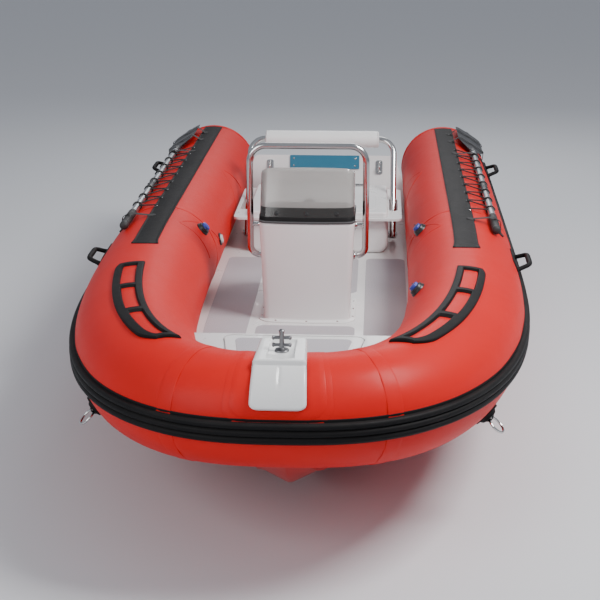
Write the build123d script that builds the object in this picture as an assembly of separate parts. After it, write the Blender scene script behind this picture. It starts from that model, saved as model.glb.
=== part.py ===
from build123d import *
import math
import os

# Small rigid inflatable boat with a centre console.
# Millimetres. The bow points along -Y, port is +X and +Z is up.
# The origin is amidships on the centreline, at the height of the still water.

# ---- air tube collar ----
TUBE_RADIUS = 215
TUBE_SPREAD = 611          # centreline to tube axis along the sides
TUBE_HEIGHT = 250          # tube axis above the water, aft
BOW_Y = -1720              # tube axis at the stem
BOW_DEPTH = 1800           # length over which the sides curve in
BOW_FULLNESS = 2.8         # exponent of the rounded bow in plan
BOW_RISE = 70              # how far the tube axis climbs at the stem
RISE_DEPTH = 1600
BOW_TAPER = 0.227          # share of the radius lost at the stem
TAPER_DEPTH = 1200
TUBE_STERN_Y = 1807
CONE_LENGTH = 110
CONE_END_RADIUS = 125
SEAM_X = 244               # bow chamber seams, off the centreline
GLUE_GAP = 0.6             # bonded pieces stand this far off the tube skin

# ---- hull and deck ----
DECK_TOP = 120
DECK_THICK = 25
KEEL_DEPTH = 190
CHINE_X = 500
CHINE_Z = 20
STEM_SETBACK = 48          # from the tube axis at the stem to the keel line's upper end
STEM_Y = BOW_Y + STEM_SETBACK
STEM_BLUNT = 12            # the moulding is cut off this far behind its stem point
STEM_TOP = 175
FOREFOOT_START_Y = -300    # the keel runs straight aft of here
FOREFOOT_TOP = 200         # the hull is solid up to here ahead of the cockpit
COCKPIT_SETBACK = 460
COCKPIT_FRONT_Y = BOW_Y + COCKPIT_SETBACK
HULL_PITCH = 60            # spacing of the hull sections

# ---- transom ----
TRANSOM_Y = 1380
TRANSOM_TOP = 402
TRANSOM_RAKE = 12
TRANSOM_THICK = 45
TRANSOM_TOP_HALF = 352
TRANSOM_CORNER = 30
BOARD_BITE = 6             # how far the board is drawn into the tubes before they are cut out
CHINE_TUCK = 12            # how far it stands past the chines
CHINE_TUCK_RISE = 40
PAD_WIDTH = 350
PAD_INNER_HEIGHT = 68
PAD_OUTER_HEIGHT = 230
PAD_THICK = 6
PAD_INNER_CORNER = 4
PAD_OUTER_CORNER = 12

# ---- rubbing strake ----
STRAKE_HEIGHT = 60
STRAKE_THICK = 18
STRAKE_WEB = 8
STRAKE_RIBS = 3

# ---- bow step and locker ----
STEP_FRONT_HALF = 81
STEP_REAR_HALF = 67
STEP_SKIN = 12
STEP_FOOT_ANGLE = 22
STEP_PLATE_LEAD = 70       # flat top ahead of the tube axis
STEP_PLATE_TAIL = 124      # and behind it
STEP_PLATE_FRONT_Y = BOW_Y - STEP_PLATE_LEAD
STEP_REAR_Y = BOW_Y + STEP_PLATE_TAIL
STEP_PLATE_DEPTH = 60
STEP_LEG_REACH = 46        # how far the rear leg leans aft onto the locker
STEP_RECESS = 8
RECESS_WIDTH = 80
RECESS_CORNER = 12
RECESS_FRONT = 20          # recess edge behind the flat top's front
RECESS_REAR = 18           # and ahead of its rear
STEP_CLEARANCE = 0.5
DOUBLER_HALF = 115
DOUBLER_THICK = 1.5
DOUBLER_ANGLES = (13, 150)
CLEAT_FOOT = (46, 30, 8)
CLEAT_POST_RADIUS = 7
CLEAT_POST_HEIGHT = 62
CLEAT_BAR_RADIUS = 5
CLEAT_BAR_LENGTH = 48
CLEAT_BAR_HEIGHTS = (18, 40)
LOCKER_TOP = 330
LOCKER_DEPTH = 620         # from the tube axis at the stem to the locker's aft wall
LOCKER_AFT_Y = BOW_Y + LOCKER_DEPTH
LOCKER_TUCK = 40           # the moulding starts this far behind the bow tube's axis
LOCKER_SIDE_TUCK = 30      # and this far inside the side tubes' axis
LOCKER_WALL = 8
LOCKER_LID_SETBACK = 300
LOCKER_LID_FRONT_Y = BOW_Y + LOCKER_LID_SETBACK
LOCKER_LID_MARGIN = 16     # lid edge to the aft wall's face
LOCKER_LID_CORNER = 28
LID_LEDGE = 18             # width of the ledge that the lid rests on
LID_REST = 0.3             # seal between lid and ledge
LID_EDGE = 3
LOCKER_LID_HALF_AFT = 235
LOCKER_LID_HALF_FRONT = 190
LOCKER_LID_THICK = 12
LID_GAP = 4

# ---- console ----
CONSOLE_FRONT_Y = -354
CONSOLE_DEPTH = 280
CONSOLE_HEIGHT = 400
CONSOLE_TOP = DECK_TOP + CONSOLE_HEIGHT
CONSOLE_TOP_HALF = 183
CONSOLE_BASE_HALF = 166
CONSOLE_BOW = 14           # how far the front face bulges forward
CONSOLE_CORNER = 24
CONSOLE_WALL = 6
DASH_THICK = 8
DASH_EDGE = 4
SCREEN_HEIGHT = 190
SCREEN_LEAN = 85
SCREEN_THICK = 5
SCREEN_CORNER = 30
SCREEN_RETURN = 150
SCREEN_TOP_CORNER = 38
SCREEN_INSET = 2           # screen inside the console's sides
SCREEN_SETBACK = 4         # screen behind the console's front edge
RAIL_RADIUS = 12.5
RAIL_STANDOFF = 41         # post axis outboard of the console's top
RAIL_HALF = CONSOLE_TOP_HALF + RAIL_STANDOFF
RAIL_ABOVE_SCREEN = 79
RAIL_TOP = CONSOLE_TOP + SCREEN_HEIGHT + RAIL_ABOVE_SCREEN
RAIL_FOOT_DROP = 164       # foot below the console's top
RAIL_FOOT_Z = CONSOLE_TOP - RAIL_FOOT_DROP
RAIL_BRACKET_DROP = 40
RAIL_BRACKET_Z = CONSOLE_TOP - RAIL_BRACKET_DROP
RAIL_SETBACK = 104         # posts behind the console's front
RAIL_Y = CONSOLE_FRONT_Y + RAIL_SETBACK
RAIL_STAY_RADIUS = 9
RAIL_STAY_BITE = 3         # how far a stay runs into its post
STAY_PLATE_RADIUS = 22
FOOT_PLATE_RADIUS = 24
FOOT_PLATE_THICK = 3
RAIL_FIT = 1               # gap between the console's side and a plate's back
RAIL_BEND = 62
RAIL_FOOT_BEND = 36

# ---- steering wheel ----
WHEEL_RADIUS = 128
WHEEL_RIM_RADIUS = 11
WHEEL_TILT = 24
WHEEL_HEIGHT = 245         # column above the deck
WHEEL_CENTRE_Z = DECK_TOP + WHEEL_HEIGHT
COLUMN_LENGTH = 70
COLUMN_RADIUS = 22
COLUMN_SINK = 20           # the column starts this far inside the console's back
COLUMN_FIT = 0.3           # gap between the console's back and the column
BEZEL_RADIUS = 38
BEZEL_THICK = 8
HUB_RADIUS = 34
HUB_DEPTH = 26
HUB_FIT = 0.5
RIM_SETBACK = 34           # rim plane behind the column's end
SPOKE_WIDTH = 26
SPOKE_THICK = 8
SPOKE_TURNS = (90, 210, 330)

# ---- seat and swinging backrest ----
SEAT_HALF = 318
SEAT_FRONT_Y = 588
SEAT_BACK_Y = 1112
SEAT_HEIGHT = 170
SEAT_FLANGE_TOP = DECK_TOP + SEAT_HEIGHT
SEAT_FLANGE_THICK = 10
SEAT_FLANGE_LIP = 30       # flange ahead of the box
SEAT_FLANGE_TAIL = 16      # and behind it
SEAT_FLANGE_MARGIN = 37    # flange outboard of the backrest legs
SEAT_FLANGE_CORNER = 28
SEAT_FLANGE_FRONT_Y = SEAT_FRONT_Y - SEAT_FLANGE_LIP
SEAT_FLANGE_BACK_Y = SEAT_BACK_Y + SEAT_FLANGE_TAIL
SEAT_WALL = 8
SEAT_RIM = 14              # how far the rim under the lid reaches inwards
SEAT_LOW_CORNER = 45
SEAT_UP_CORNER = 20
SEAT_ROOM_CORNER = 36
SEAT_LID_HALF = SEAT_HALF - 2
SEAT_LID_OVERHANG = 10
SEAT_LID_FRONT_Y = SEAT_FRONT_Y - SEAT_LID_OVERHANG
SEAT_LID_THICK = 24
SEAT_LID_CORNER = 24
SEAT_LID_EDGE = 8
SEAT_LID_REST = 0.5
BACKREST_PIVOT_Y = 820
PIVOT_HEIGHT = 30          # pivot above the deck
BACKREST_PIVOT_Z = DECK_TOP + PIVOT_HEIGHT
BACKREST_LENGTH = 473
BACKREST_LEAN = 33
LEG_OFFSET = 25            # leg axis outboard of the seat box
BACKREST_HALF = SEAT_HALF + LEG_OFFSET
SEAT_FLANGE_HALF = BACKREST_HALF + SEAT_FLANGE_MARGIN
BACKREST_TUBE = 14
BACKREST_BEND = 72
LEG_TAIL = 18              # leg below its pivot
ROLL_LENGTH = 545
ROLL_RADIUS = 40
ROLL_EDGE = 8
ROLL_FIT = 0.3
PIVOT_PIN_RADIUS = 6
PIVOT_CLEARANCE = 0.05
PIVOT_BOSS_RADIUS = 18
PIVOT_BOSS_FIT = 0.2
PIVOT_SIDE_FIT = 1
PIVOT_HEAD_RADIUS = 11
PIVOT_HEAD_THICK = 5
PIVOT_HEAD_GAP = 2
EYE_HALF_SPREAD = 275
EYE_Z = 345
EYE_PLATE = (34, 70)
EYE_PLATE_CORNER = 10
EYE_PLATE_THICK = 5
EYE_RING_RADIUS = 17
EYE_WIRE = 4
EYE_STANDOFF = 14
SLOT_CLEARANCE = 6

# ---- fittings on the tubes ----
STRIP_FRONT_Y = -520
STRIP_END_MARGIN = 27      # strip end ahead of the stern seam
STRIP_BACK_Y = TUBE_STERN_Y - STRIP_END_MARGIN
STRIP_PITCH = 160
STRIP_ANGLES = (78, 103)
STRIP_THICK = 4
ARC_SETBACK = 135          # handle's forward end behind the tube axis at the stem
ARC_LENGTH = 800           # fore and aft
ARC_FRONT_Y = BOW_Y + ARC_SETBACK
ARC_BACK_Y = ARC_FRONT_Y + ARC_LENGTH
ARC_PITCH = 60
ARC_ANGLES = (70, 100)
ARC_THICK = 9
ARC_RAIL = 8               # degrees taken by each long edge
ARC_BRIDGE = 26
PADDLE_ANGLE = 58
PADDLE_RADIUS = 14
PADDLE_STANDOFF = 6
PADDLE_FRONT_Y = -200
GRIP_LENGTH = 220
GRIP_EXTRA = 3             # grip radius beyond the shaft's
GRIP_EDGE = 6
SHAFT_LENGTH = 1270
BLADE_LENGTH = 450
BLADE_CORNER = 40
SHAFT_Y = (PADDLE_FRONT_Y + GRIP_LENGTH, PADDLE_FRONT_Y + GRIP_LENGTH + SHAFT_LENGTH)
GRIP_Y = (PADDLE_FRONT_Y, SHAFT_Y[0])
BLADE_Y = (SHAFT_Y[1], SHAFT_Y[1] + BLADE_LENGTH)
BLADE_WIDTH = 150
BLADE_THICK = 10
HANDLE_Y = (-220, 1380)
HANDLE_LENGTH = 230
HANDLE_STANDOFF = 52
HANDLE_ANGLE = 20
HANDLE_BAR = 11
HANDLE_FOOT_ANGLE = 11     # half of the arc that a foot plate takes
HANDLE_FOOT_THICK = 4
HANDLE_BEND = 22
HANDLE_END = 30            # bar end inside the foot plate's end
HANDLE_SLOPE = 15          # lean of the bar's legs
VALVE_SPOTS = ((-1, -12), (1, 16), (1, -842))
VALVE_ANGLE = 140
VALVE_RADIUS = 26
VALVE_LIFT = 6
VALVE_DEPTH = 10
CAP_RADIUS = 18
CAP_DEPTH = 12
CAP_FIT = 0.4
RING_SETBACK = 430
RING_Y = BOW_Y + RING_SETBACK
RING_ANGLE = -42
RING_RADIUS = 30
RING_WIRE = 4
RING_PATCH_RADIUS = 30
RING_PATCH_LIFT = 9
RING_PATCH_THICK = 6
BEYOND = 900               # half width of cutting blocks that reach past the boat


# ---- tube axis: a superellipse round the bow, then straight sides ----
def bow_point(angle):
    """Plan position on the bow curve, with 0 at the stem and 90 at the port shoulder."""
    power = 2 / BOW_FULLNESS
    x = TUBE_SPREAD * math.sin(math.radians(angle)) ** power
    y = BOW_Y + BOW_DEPTH * (1 - math.cos(math.radians(angle)) ** power)
    return x, y


BOW_STEPS = 3600
BOW_CURVE = [bow_point(90 * i / BOW_STEPS) for i in range(BOW_STEPS)]
BOW_CURVE.append((TUBE_SPREAD, BOW_Y + BOW_DEPTH))
ARC_LENGTHS = [0.0]
for near, far in zip(BOW_CURVE, BOW_CURVE[1:]):
    ARC_LENGTHS.append(ARC_LENGTHS[-1] + math.dist(near, far))
SHOULDER = ARC_LENGTHS[-1]
SHOULDER_Y = BOW_Y + BOW_DEPTH


def mix(length, table, column):
    """Value of one column of the bow curve at a length from the stem."""
    low, high = 0, len(ARC_LENGTHS) - 1
    while high - low > 1:
        middle = (low + high) // 2
        if ARC_LENGTHS[middle] <= length:
            low = middle
        else:
            high = middle
    share = (length - ARC_LENGTHS[low]) / (ARC_LENGTHS[high] - ARC_LENGTHS[low])
    return table[low][column] + share * (table[high][column] - table[low][column])


def axis_point(s):
    """Tube axis at the length s from the stem, positive to port."""
    side = 1 if s >= 0 else -1
    length = abs(s)
    if length >= SHOULDER:
        x, y = TUBE_SPREAD, SHOULDER_Y + length - SHOULDER
    else:
        x, y = mix(length, BOW_CURVE, 0), mix(length, BOW_CURVE, 1)
    climb = max(0, (BOW_Y + RISE_DEPTH - y) / RISE_DEPTH)
    return Vector(side * x, y, TUBE_HEIGHT + BOW_RISE * climb**2)


def tube_radius(s):
    """Skin radius at the length s, which shrinks towards the stem."""
    ahead = max(0, (BOW_Y + TAPER_DEPTH - axis_point(s).Y) / TAPER_DEPTH)
    return TUBE_RADIUS * (1 - BOW_TAPER * ahead**2)


def length_at_y(y):
    """Length from the stem to where the port tube axis reaches y."""
    if y >= SHOULDER_Y:
        return SHOULDER + y - SHOULDER_Y
    for i, point in enumerate(BOW_CURVE):
        if point[1] >= y:
            return ARC_LENGTHS[i]


def length_at_x(x):
    """Length from the stem to where the port tube axis reaches x."""
    for i, point in enumerate(BOW_CURVE):
        if point[0] >= x:
            return ARC_LENGTHS[i]


def section_plane(s):
    """Plane across the tube at s: X points outboard and Y points up."""
    step = 4.0
    tangent = (axis_point(s + step) - axis_point(s - step)).normalized()
    outboard = Vector(tangent.Y, -tangent.X, 0).normalized()
    return Plane(origin=axis_point(s), x_dir=outboard, z_dir=-tangent)


def stations(start, end, pitch=75):
    """Evenly spaced lengths from start to end."""
    count = max(2, round(abs(end - start) / pitch))
    return [start + (end - start) * i / count for i in range(count + 1)]


def chamber(start, end, grow=0):
    """One length of tube between two seams."""
    margin = 60
    cuts = [start - margin] + stations(start, end) + [end + margin]
    body = loft([section_plane(s) * Circle(tube_radius(s) + grow) for s in cuts])
    body = split(body, bisect_by=section_plane(start), keep=Keep.BOTTOM)
    return split(body, bisect_by=section_plane(end), keep=Keep.TOP)


def side_chamber(side, grow=0):
    """Straight length of tube from the shoulder to the stern cone."""
    start = Plane(origin=(side * TUBE_SPREAD, SHOULDER_Y, TUBE_HEIGHT), z_dir=(0, 1, 0))
    return extrude(start * Circle(TUBE_RADIUS + grow), TUBE_STERN_Y - SHOULDER_Y)


def ring_face(s, inner, outer, low, high):
    """Sector of a ring in the section plane, between two angles from outboard."""
    plane = section_plane(s)
    radius = tube_radius(s)

    def at(reach, angle):
        """Point at a height above the skin and an angle."""
        turn = math.radians(angle)
        return ((radius + reach) * math.cos(turn), (radius + reach) * math.sin(turn))

    middle = (low + high) / 2
    edges = [
        ThreePointArc(at(inner, low), at(inner, middle), at(inner, high)),
        Line(at(inner, high), at(outer, high)),
        ThreePointArc(at(outer, high), at(outer, middle), at(outer, low)),
        Line(at(outer, low), at(inner, low)),
    ]
    return plane * make_face(Curve() + edges)


def skin_patch(start, end, low, high, outer, inner=GLUE_GAP, pitch=75):
    """Sheet that lies on the tube between two lengths and two angles."""
    faces = [ring_face(s, inner, outer, low, high) for s in stations(start, end, pitch)]
    return loft(faces)


def mirrored(shape):
    """The same piece on the starboard side."""
    return mirror(shape, about=Plane.YZ)


def skin_plane(s, angle, reach=0):
    """Plane on the tube skin: Z points out of the skin, X runs along the tube."""
    plane = section_plane(s)
    turn = math.radians(angle)
    out = plane.x_dir * math.cos(turn) + plane.y_dir * math.sin(turn)
    origin = plane.origin + out * (tube_radius(s) + reach)
    return Plane(origin=origin, x_dir=plane.z_dir, z_dir=out)


SEAM = length_at_x(SEAM_X)
bow_tube = chamber(-SEAM, SEAM)
port_shoulder_tube = chamber(SEAM, SHOULDER)
starboard_shoulder_tube = mirrored(port_shoulder_tube)
port_side_tube = side_chamber(1)
starboard_side_tube = side_chamber(-1)

cone_start = Plane(origin=(TUBE_SPREAD, TUBE_STERN_Y, TUBE_HEIGHT), z_dir=(0, 1, 0))
port_tube_cone = loft([
    cone_start * Circle(TUBE_RADIUS),
    cone_start.offset(CONE_LENGTH) * Circle(CONE_END_RADIUS),
])
port_tube_cone = fillet(port_tube_cone.edges().sort_by(Axis.Y)[-1], 40)
starboard_tube_cone = mirrored(port_tube_cone)

port_shoulder_room = chamber(SEAM, SHOULDER, GLUE_GAP)
tube_room = [
    chamber(-SEAM, SEAM, GLUE_GAP),
    port_shoulder_room,
    mirrored(port_shoulder_room),
    side_chamber(1, GLUE_GAP),
    side_chamber(-1, GLUE_GAP),
]


def clear_of_tubes(shape):
    """The shape with the room of the tubes taken out of it."""
    for room in tube_room:
        shape = shape - room
    return shape


# ---- transom: one raked board across the stern ----
rake = math.radians(TRANSOM_RAKE)
transom_plane = Plane(
    origin=(0, TRANSOM_Y, TRANSOM_TOP),
    x_dir=(1, 0, 0),
    z_dir=(0, math.cos(rake), -math.sin(rake)),
)


def down_board(z):
    """Distance down the raked board from its top edge to the height z."""
    return (TRANSOM_TOP - z) / math.cos(rake)


board = Polygon(
    (-TRANSOM_TOP_HALF, 0),
    (TRANSOM_TOP_HALF, 0),
    (TUBE_SPREAD - TUBE_RADIUS + BOARD_BITE, down_board(TUBE_HEIGHT)),
    (CHINE_X + CHINE_TUCK, down_board(CHINE_Z + CHINE_TUCK_RISE)),
    (CHINE_X, down_board(CHINE_Z)),
    (0, down_board(-KEEL_DEPTH)),
    (-CHINE_X, down_board(CHINE_Z)),
    (-CHINE_X - CHINE_TUCK, down_board(CHINE_Z + CHINE_TUCK_RISE)),
    (-TUBE_SPREAD + TUBE_RADIUS - BOARD_BITE, down_board(TUBE_HEIGHT)),
    align=None,
)
board = fillet(board.vertices().sort_by(Axis.Y)[:2], TRANSOM_CORNER)
transom = clear_of_tubes(extrude(transom_plane * board, TRANSOM_THICK))
pad_inner_centre = Pos(0, PAD_INNER_HEIGHT / 2)
motor_pad_inner = extrude(
    transom_plane * pad_inner_centre
    * RectangleRounded(PAD_WIDTH, PAD_INNER_HEIGHT, PAD_INNER_CORNER),
    -PAD_THICK,
)
outer_plane = transom_plane.offset(TRANSOM_THICK)
motor_pad_outer = extrude(
    outer_plane * Pos(0, PAD_OUTER_HEIGHT / 2)
    * RectangleRounded(PAD_WIDTH, PAD_OUTER_HEIGHT, PAD_OUTER_CORNER),
    PAD_THICK,
)

# ---- hull: deep-vee moulding, solid under the deck ----
def hull_section(y):
    """Cross-section of the hull: keel, two chines and a top inside the tubes."""
    ahead = max(0, (FOREFOOT_START_Y - y) / (FOREFOOT_START_Y - STEM_Y))
    keel = -KEEL_DEPTH + (STEM_TOP + KEEL_DEPTH) * ahead**5
    chine_x = CHINE_X * (1 - ahead**3) ** 0.75
    chine_z = CHINE_Z + (STEM_TOP - CHINE_Z) * ahead**3.6
    top_half = axis_point(length_at_y(y)).X
    outline = Polygon(
        (0, keel),
        (chine_x, chine_z),
        (top_half, FOREFOOT_TOP),
        (-top_half, FOREFOOT_TOP),
        (-chine_x, chine_z),
        align=None,
    )
    return Plane(origin=(0, y, 0), x_dir=(1, 0, 0), z_dir=(0, -1, 0)) * outline


def block(x_half, y_low, y_high, z_low, z_high):
    """Box centred across the boat between two stations and two heights."""
    size = (2 * x_half, y_high - y_low, z_high - z_low)
    return Pos(0, (y_low + y_high) / 2, (z_low + z_high) / 2) * Box(*size)


hull_top = DECK_TOP - DECK_THICK
hull_stations = stations(STEM_Y + STEM_BLUNT, FOREFOOT_START_Y, HULL_PITCH)
hull_stations.append(TRANSOM_Y + HULL_PITCH)
hull = loft([hull_section(y) for y in hull_stations], ruled=True)
hull = hull - block(BEYOND, COCKPIT_FRONT_Y, TRANSOM_Y + BEYOND, hull_top, FOREFOOT_TOP + BEYOND)
behind_board = extrude(transom_plane * Rectangle(2 * BEYOND, 2 * BEYOND), BEYOND)
hull = clear_of_tubes(hull - behind_board)

deck = block(TUBE_SPREAD, LOCKER_AFT_Y, TRANSOM_Y, hull_top, DECK_TOP)
deck = clear_of_tubes(deck - behind_board)

# ---- rubbing strake: ribbed rubber round the widest line of the collar ----
def strake_face(s):
    """Ribbed strake profile in the section plane."""
    radius = tube_radius(s) + GLUE_GAP
    half = STRAKE_HEIGHT / 2
    rib = STRAKE_HEIGHT / STRAKE_RIBS
    root = radius + STRAKE_WEB
    back = math.sqrt(radius**2 - half**2)
    edges = [
        ThreePointArc((back, -half), (radius, 0), (back, half)),
        Line((back, half), (root, half)),
        Line((root, -half), (back, -half)),
    ]
    for i in range(STRAKE_RIBS):
        low = -half + i * rib
        crest = (radius + STRAKE_THICK, low + rib / 2)
        edges.append(ThreePointArc((root, low), crest, (root, low + rib)))
    return section_plane(s) * make_face(Curve() + edges)


bow_strake = loft([strake_face(s) for s in stations(-SHOULDER, SHOULDER, 90)])
side_run = TUBE_STERN_Y - SHOULDER_Y
stern_strake_face = strake_face(length_at_y(TUBE_STERN_Y))
port_strake = extrude(stern_strake_face, amount=side_run, dir=(0, -1, 0))
starboard_strake = mirrored(port_strake)

# ---- bow step: white moulding that saddles the bow tube ----
bow_radius = tube_radius(0)
bow_axis_z = axis_point(0).Z
step_outer = bow_radius + GLUE_GAP + DOUBLER_THICK + STEP_SKIN
step_top = bow_axis_z + step_outer
foot = math.radians(STEP_FOOT_ANGLE)
side_view = Plane(origin=(0, 0, 0), x_dir=(0, 1, 0), z_dir=(1, 0, 0))
saddle = Pos(BOW_Y, bow_axis_z) * Circle(step_outer)
plate_spot = Pos((STEP_PLATE_FRONT_Y + STEP_REAR_Y) / 2, step_top - STEP_PLATE_DEPTH / 2)
plate = plate_spot * Rectangle(STEP_REAR_Y - STEP_PLATE_FRONT_Y, STEP_PLATE_DEPTH)
rear_leg = Polygon(
    (STEP_REAR_Y, step_top),
    (STEP_REAR_Y - STEP_PLATE_DEPTH, step_top),
    (STEP_REAR_Y - STEP_PLATE_DEPTH, LOCKER_TOP),
    (STEP_REAR_Y + STEP_LEG_REACH, LOCKER_TOP),
    align=None,
)
below_foot = Polygon(
    (BOW_Y, bow_axis_z),
    (BOW_Y - BEYOND, bow_axis_z + BEYOND * math.tan(foot)),
    (BOW_Y - BEYOND, 0),
    (BOW_Y + BEYOND, 0),
    (BOW_Y + BEYOND, LOCKER_TOP),
    (BOW_Y, LOCKER_TOP),
    align=None,
)
step_side = side_view * (saddle + plate + rear_leg - below_foot)
bow_step = extrude(step_side, 2 * STEP_FRONT_HALF, both=True)
step_plan = Polygon(
    (-STEP_FRONT_HALF, BOW_Y - step_outer - STEP_SKIN),
    (STEP_FRONT_HALF, BOW_Y - step_outer - STEP_SKIN),
    (STEP_REAR_HALF, STEP_REAR_Y + STEP_LEG_REACH),
    (-STEP_REAR_HALF, STEP_REAR_Y + STEP_LEG_REACH),
    align=None,
)
bow_step = bow_step & extrude(step_plan, 1000)
bow_step = bow_step - chamber(-SEAM, SEAM, GLUE_GAP + DOUBLER_THICK + STEP_CLEARANCE)
recess_y = (STEP_PLATE_FRONT_Y + RECESS_FRONT, STEP_REAR_Y - RECESS_REAR)
recess_size = (RECESS_WIDTH, recess_y[1] - recess_y[0])
recess = Pos(0, sum(recess_y) / 2, step_top) * extrude(
    RectangleRounded(*recess_size, RECESS_CORNER), STEP_RECESS, both=True
)
bow_step = bow_step - recess
bow_doubler = skin_patch(
    -length_at_x(DOUBLER_HALF), length_at_x(DOUBLER_HALF), *DOUBLER_ANGLES,
    GLUE_GAP + DOUBLER_THICK, pitch=40,
)

cleat_y = sum(recess_y) / 2
cleat_base = step_top - STEP_RECESS
bow_cleat = Pos(0, cleat_y, cleat_base + CLEAT_FOOT[2] / 2) * Box(*CLEAT_FOOT)
post_middle = Pos(0, cleat_y, cleat_base + CLEAT_POST_HEIGHT / 2)
bow_cleat += post_middle * Cylinder(CLEAT_POST_RADIUS, CLEAT_POST_HEIGHT)
for height in CLEAT_BAR_HEIGHTS:
    cleat_bar = Rot(0, 90, 0) * Cylinder(CLEAT_BAR_RADIUS, CLEAT_BAR_LENGTH)
    bow_cleat += Pos(0, cleat_y, cleat_base + height) * cleat_bar

# ---- bow locker: raised white moulding between the tubes, with a lid ----
def locker_outline():
    """Half plan of the space inside the tube axis, ahead of the cockpit."""
    front = BOW_Y + LOCKER_TUCK
    points = [(0, front)]
    for s in stations(length_at_x(SEAM_X), length_at_y(LOCKER_AFT_Y), 90):
        point = axis_point(s)
        points.append((point.X - LOCKER_SIDE_TUCK, max(point.Y, front)))
    points[-1] = (points[-1][0], LOCKER_AFT_Y)
    left = [(-x, y) for x, y in reversed(points[1:])]
    return Polygon(*(points + left), align=None)


bow_locker = Pos(0, 0, hull_top) * extrude(locker_outline(), LOCKER_TOP - hull_top)
bow_locker -= block(BEYOND, BOW_Y - BEYOND, COCKPIT_FRONT_Y, 0, FOREFOOT_TOP)
lid_plan = Polygon(
    (-LOCKER_LID_HALF_FRONT, LOCKER_LID_FRONT_Y),
    (LOCKER_LID_HALF_FRONT, LOCKER_LID_FRONT_Y),
    (LOCKER_LID_HALF_AFT, LOCKER_AFT_Y - LOCKER_LID_MARGIN),
    (-LOCKER_LID_HALF_AFT, LOCKER_AFT_Y - LOCKER_LID_MARGIN),
    align=None,
)
lid_plan = fillet(lid_plan.vertices(), LOCKER_LID_CORNER)
lid_seat = offset(lid_plan, LID_GAP)
locker_mouth = offset(lid_plan, -LID_LEDGE)
bow_locker -= Pos(0, 0, LOCKER_TOP - LOCKER_LID_THICK) * extrude(lid_seat, BEYOND)
bow_locker -= Pos(0, 0, FOREFOOT_TOP + LOCKER_WALL) * extrude(locker_mouth, LOCKER_TOP)
deep_part = Pos(0, 0, DECK_TOP) * extrude(locker_mouth, LOCKER_TOP)
shallow_front = block(BEYOND, BOW_Y - BEYOND, COCKPIT_FRONT_Y + LOCKER_WALL, 0, BEYOND)
bow_locker -= deep_part - shallow_front
bow_locker = clear_of_tubes(bow_locker)
lid_base = LOCKER_TOP - LOCKER_LID_THICK
bow_locker_lid = Pos(0, 0, lid_base + LID_REST) * extrude(lid_plan, LOCKER_LID_THICK)
bow_locker_lid = fillet(bow_locker_lid.faces().sort_by(Axis.Z)[-1].edges(), LID_EDGE)

# ---- console: hollow white moulding that stands on the deck ----
def console_outline(half, inset=0.0):
    """Plan of the console with a bulged front and rounded corners."""
    front, back = CONSOLE_FRONT_Y + inset, CONSOLE_FRONT_Y + CONSOLE_DEPTH - inset
    half = half - inset
    edges = [
        ThreePointArc((-half, front), (0, front - CONSOLE_BOW), (half, front)),
        Line((half, front), (half, back)),
        Line((half, back), (-half, back)),
        Line((-half, back), (-half, front)),
    ]
    face = make_face(Curve() + edges)
    return fillet(face.vertices(), CONSOLE_CORNER - inset)


def console_block(inset, low, high):
    """Tapered console body between its base and its top."""
    base = Pos(0, 0, low) * console_outline(CONSOLE_BASE_HALF, inset)
    top = Pos(0, 0, high) * console_outline(CONSOLE_TOP_HALF, inset)
    return loft([base, top], ruled=True)


shell_top = CONSOLE_TOP - DASH_THICK
console = console_block(0, DECK_TOP, shell_top)
console -= console_block(CONSOLE_WALL, DECK_TOP - 1, shell_top - CONSOLE_WALL)
console_dash = Pos(0, 0, shell_top) * extrude(console_outline(CONSOLE_TOP_HALF), DASH_THICK)
console_dash = fillet(console_dash.faces().sort_by(Axis.Z)[-1].edges(), DASH_EDGE)


def screen_band(front, length, z):
    """U-shaped plan band of the windscreen at the height z."""
    half = CONSOLE_TOP_HALF - SCREEN_INSET

    def outline(grow):
        """Rounded plan of the bent sheet, grown outwards."""
        depth = length + grow
        width = 2 * (half + grow)
        radius = SCREEN_CORNER + grow
        centre_y = front - grow + depth / 2 + radius
        body = Pos(0, centre_y) * RectangleRounded(width, depth + 2 * radius, radius)
        keep = Pos(0, front + length / 2 - 50) * Rectangle(2 * width, length + 100)
        return body & keep

    return Pos(0, 0, z) * (outline(0) - outline(-SCREEN_THICK))


screen_front = CONSOLE_FRONT_Y + SCREEN_SETBACK
screen_base = screen_band(screen_front, SCREEN_RETURN, CONSOLE_TOP)
screen_head = screen_band(
    screen_front + SCREEN_LEAN, SCREEN_RETURN - SCREEN_LEAN, CONSOLE_TOP + SCREEN_HEIGHT
)
windscreen = loft([screen_base, screen_head], ruled=True)
screen_front_view = Plane(origin=(0, 0, 0), x_dir=(1, 0, 0), z_dir=(0, -1, 0))
screen_frame = Pos(0, CONSOLE_TOP + SCREEN_HEIGHT / 2 - 50) * RectangleRounded(
    2 * CONSOLE_TOP_HALF, SCREEN_HEIGHT + 100, SCREEN_TOP_CORNER
)
windscreen = windscreen & extrude(screen_front_view * screen_frame, BEYOND, both=True)


def console_half(z):
    """Half width of the console's side at the height z."""
    share = (z - DECK_TOP) / (shell_top - DECK_TOP)
    return CONSOLE_BASE_HALF + share * (CONSOLE_TOP_HALF - CONSOLE_BASE_HALF)


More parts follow.
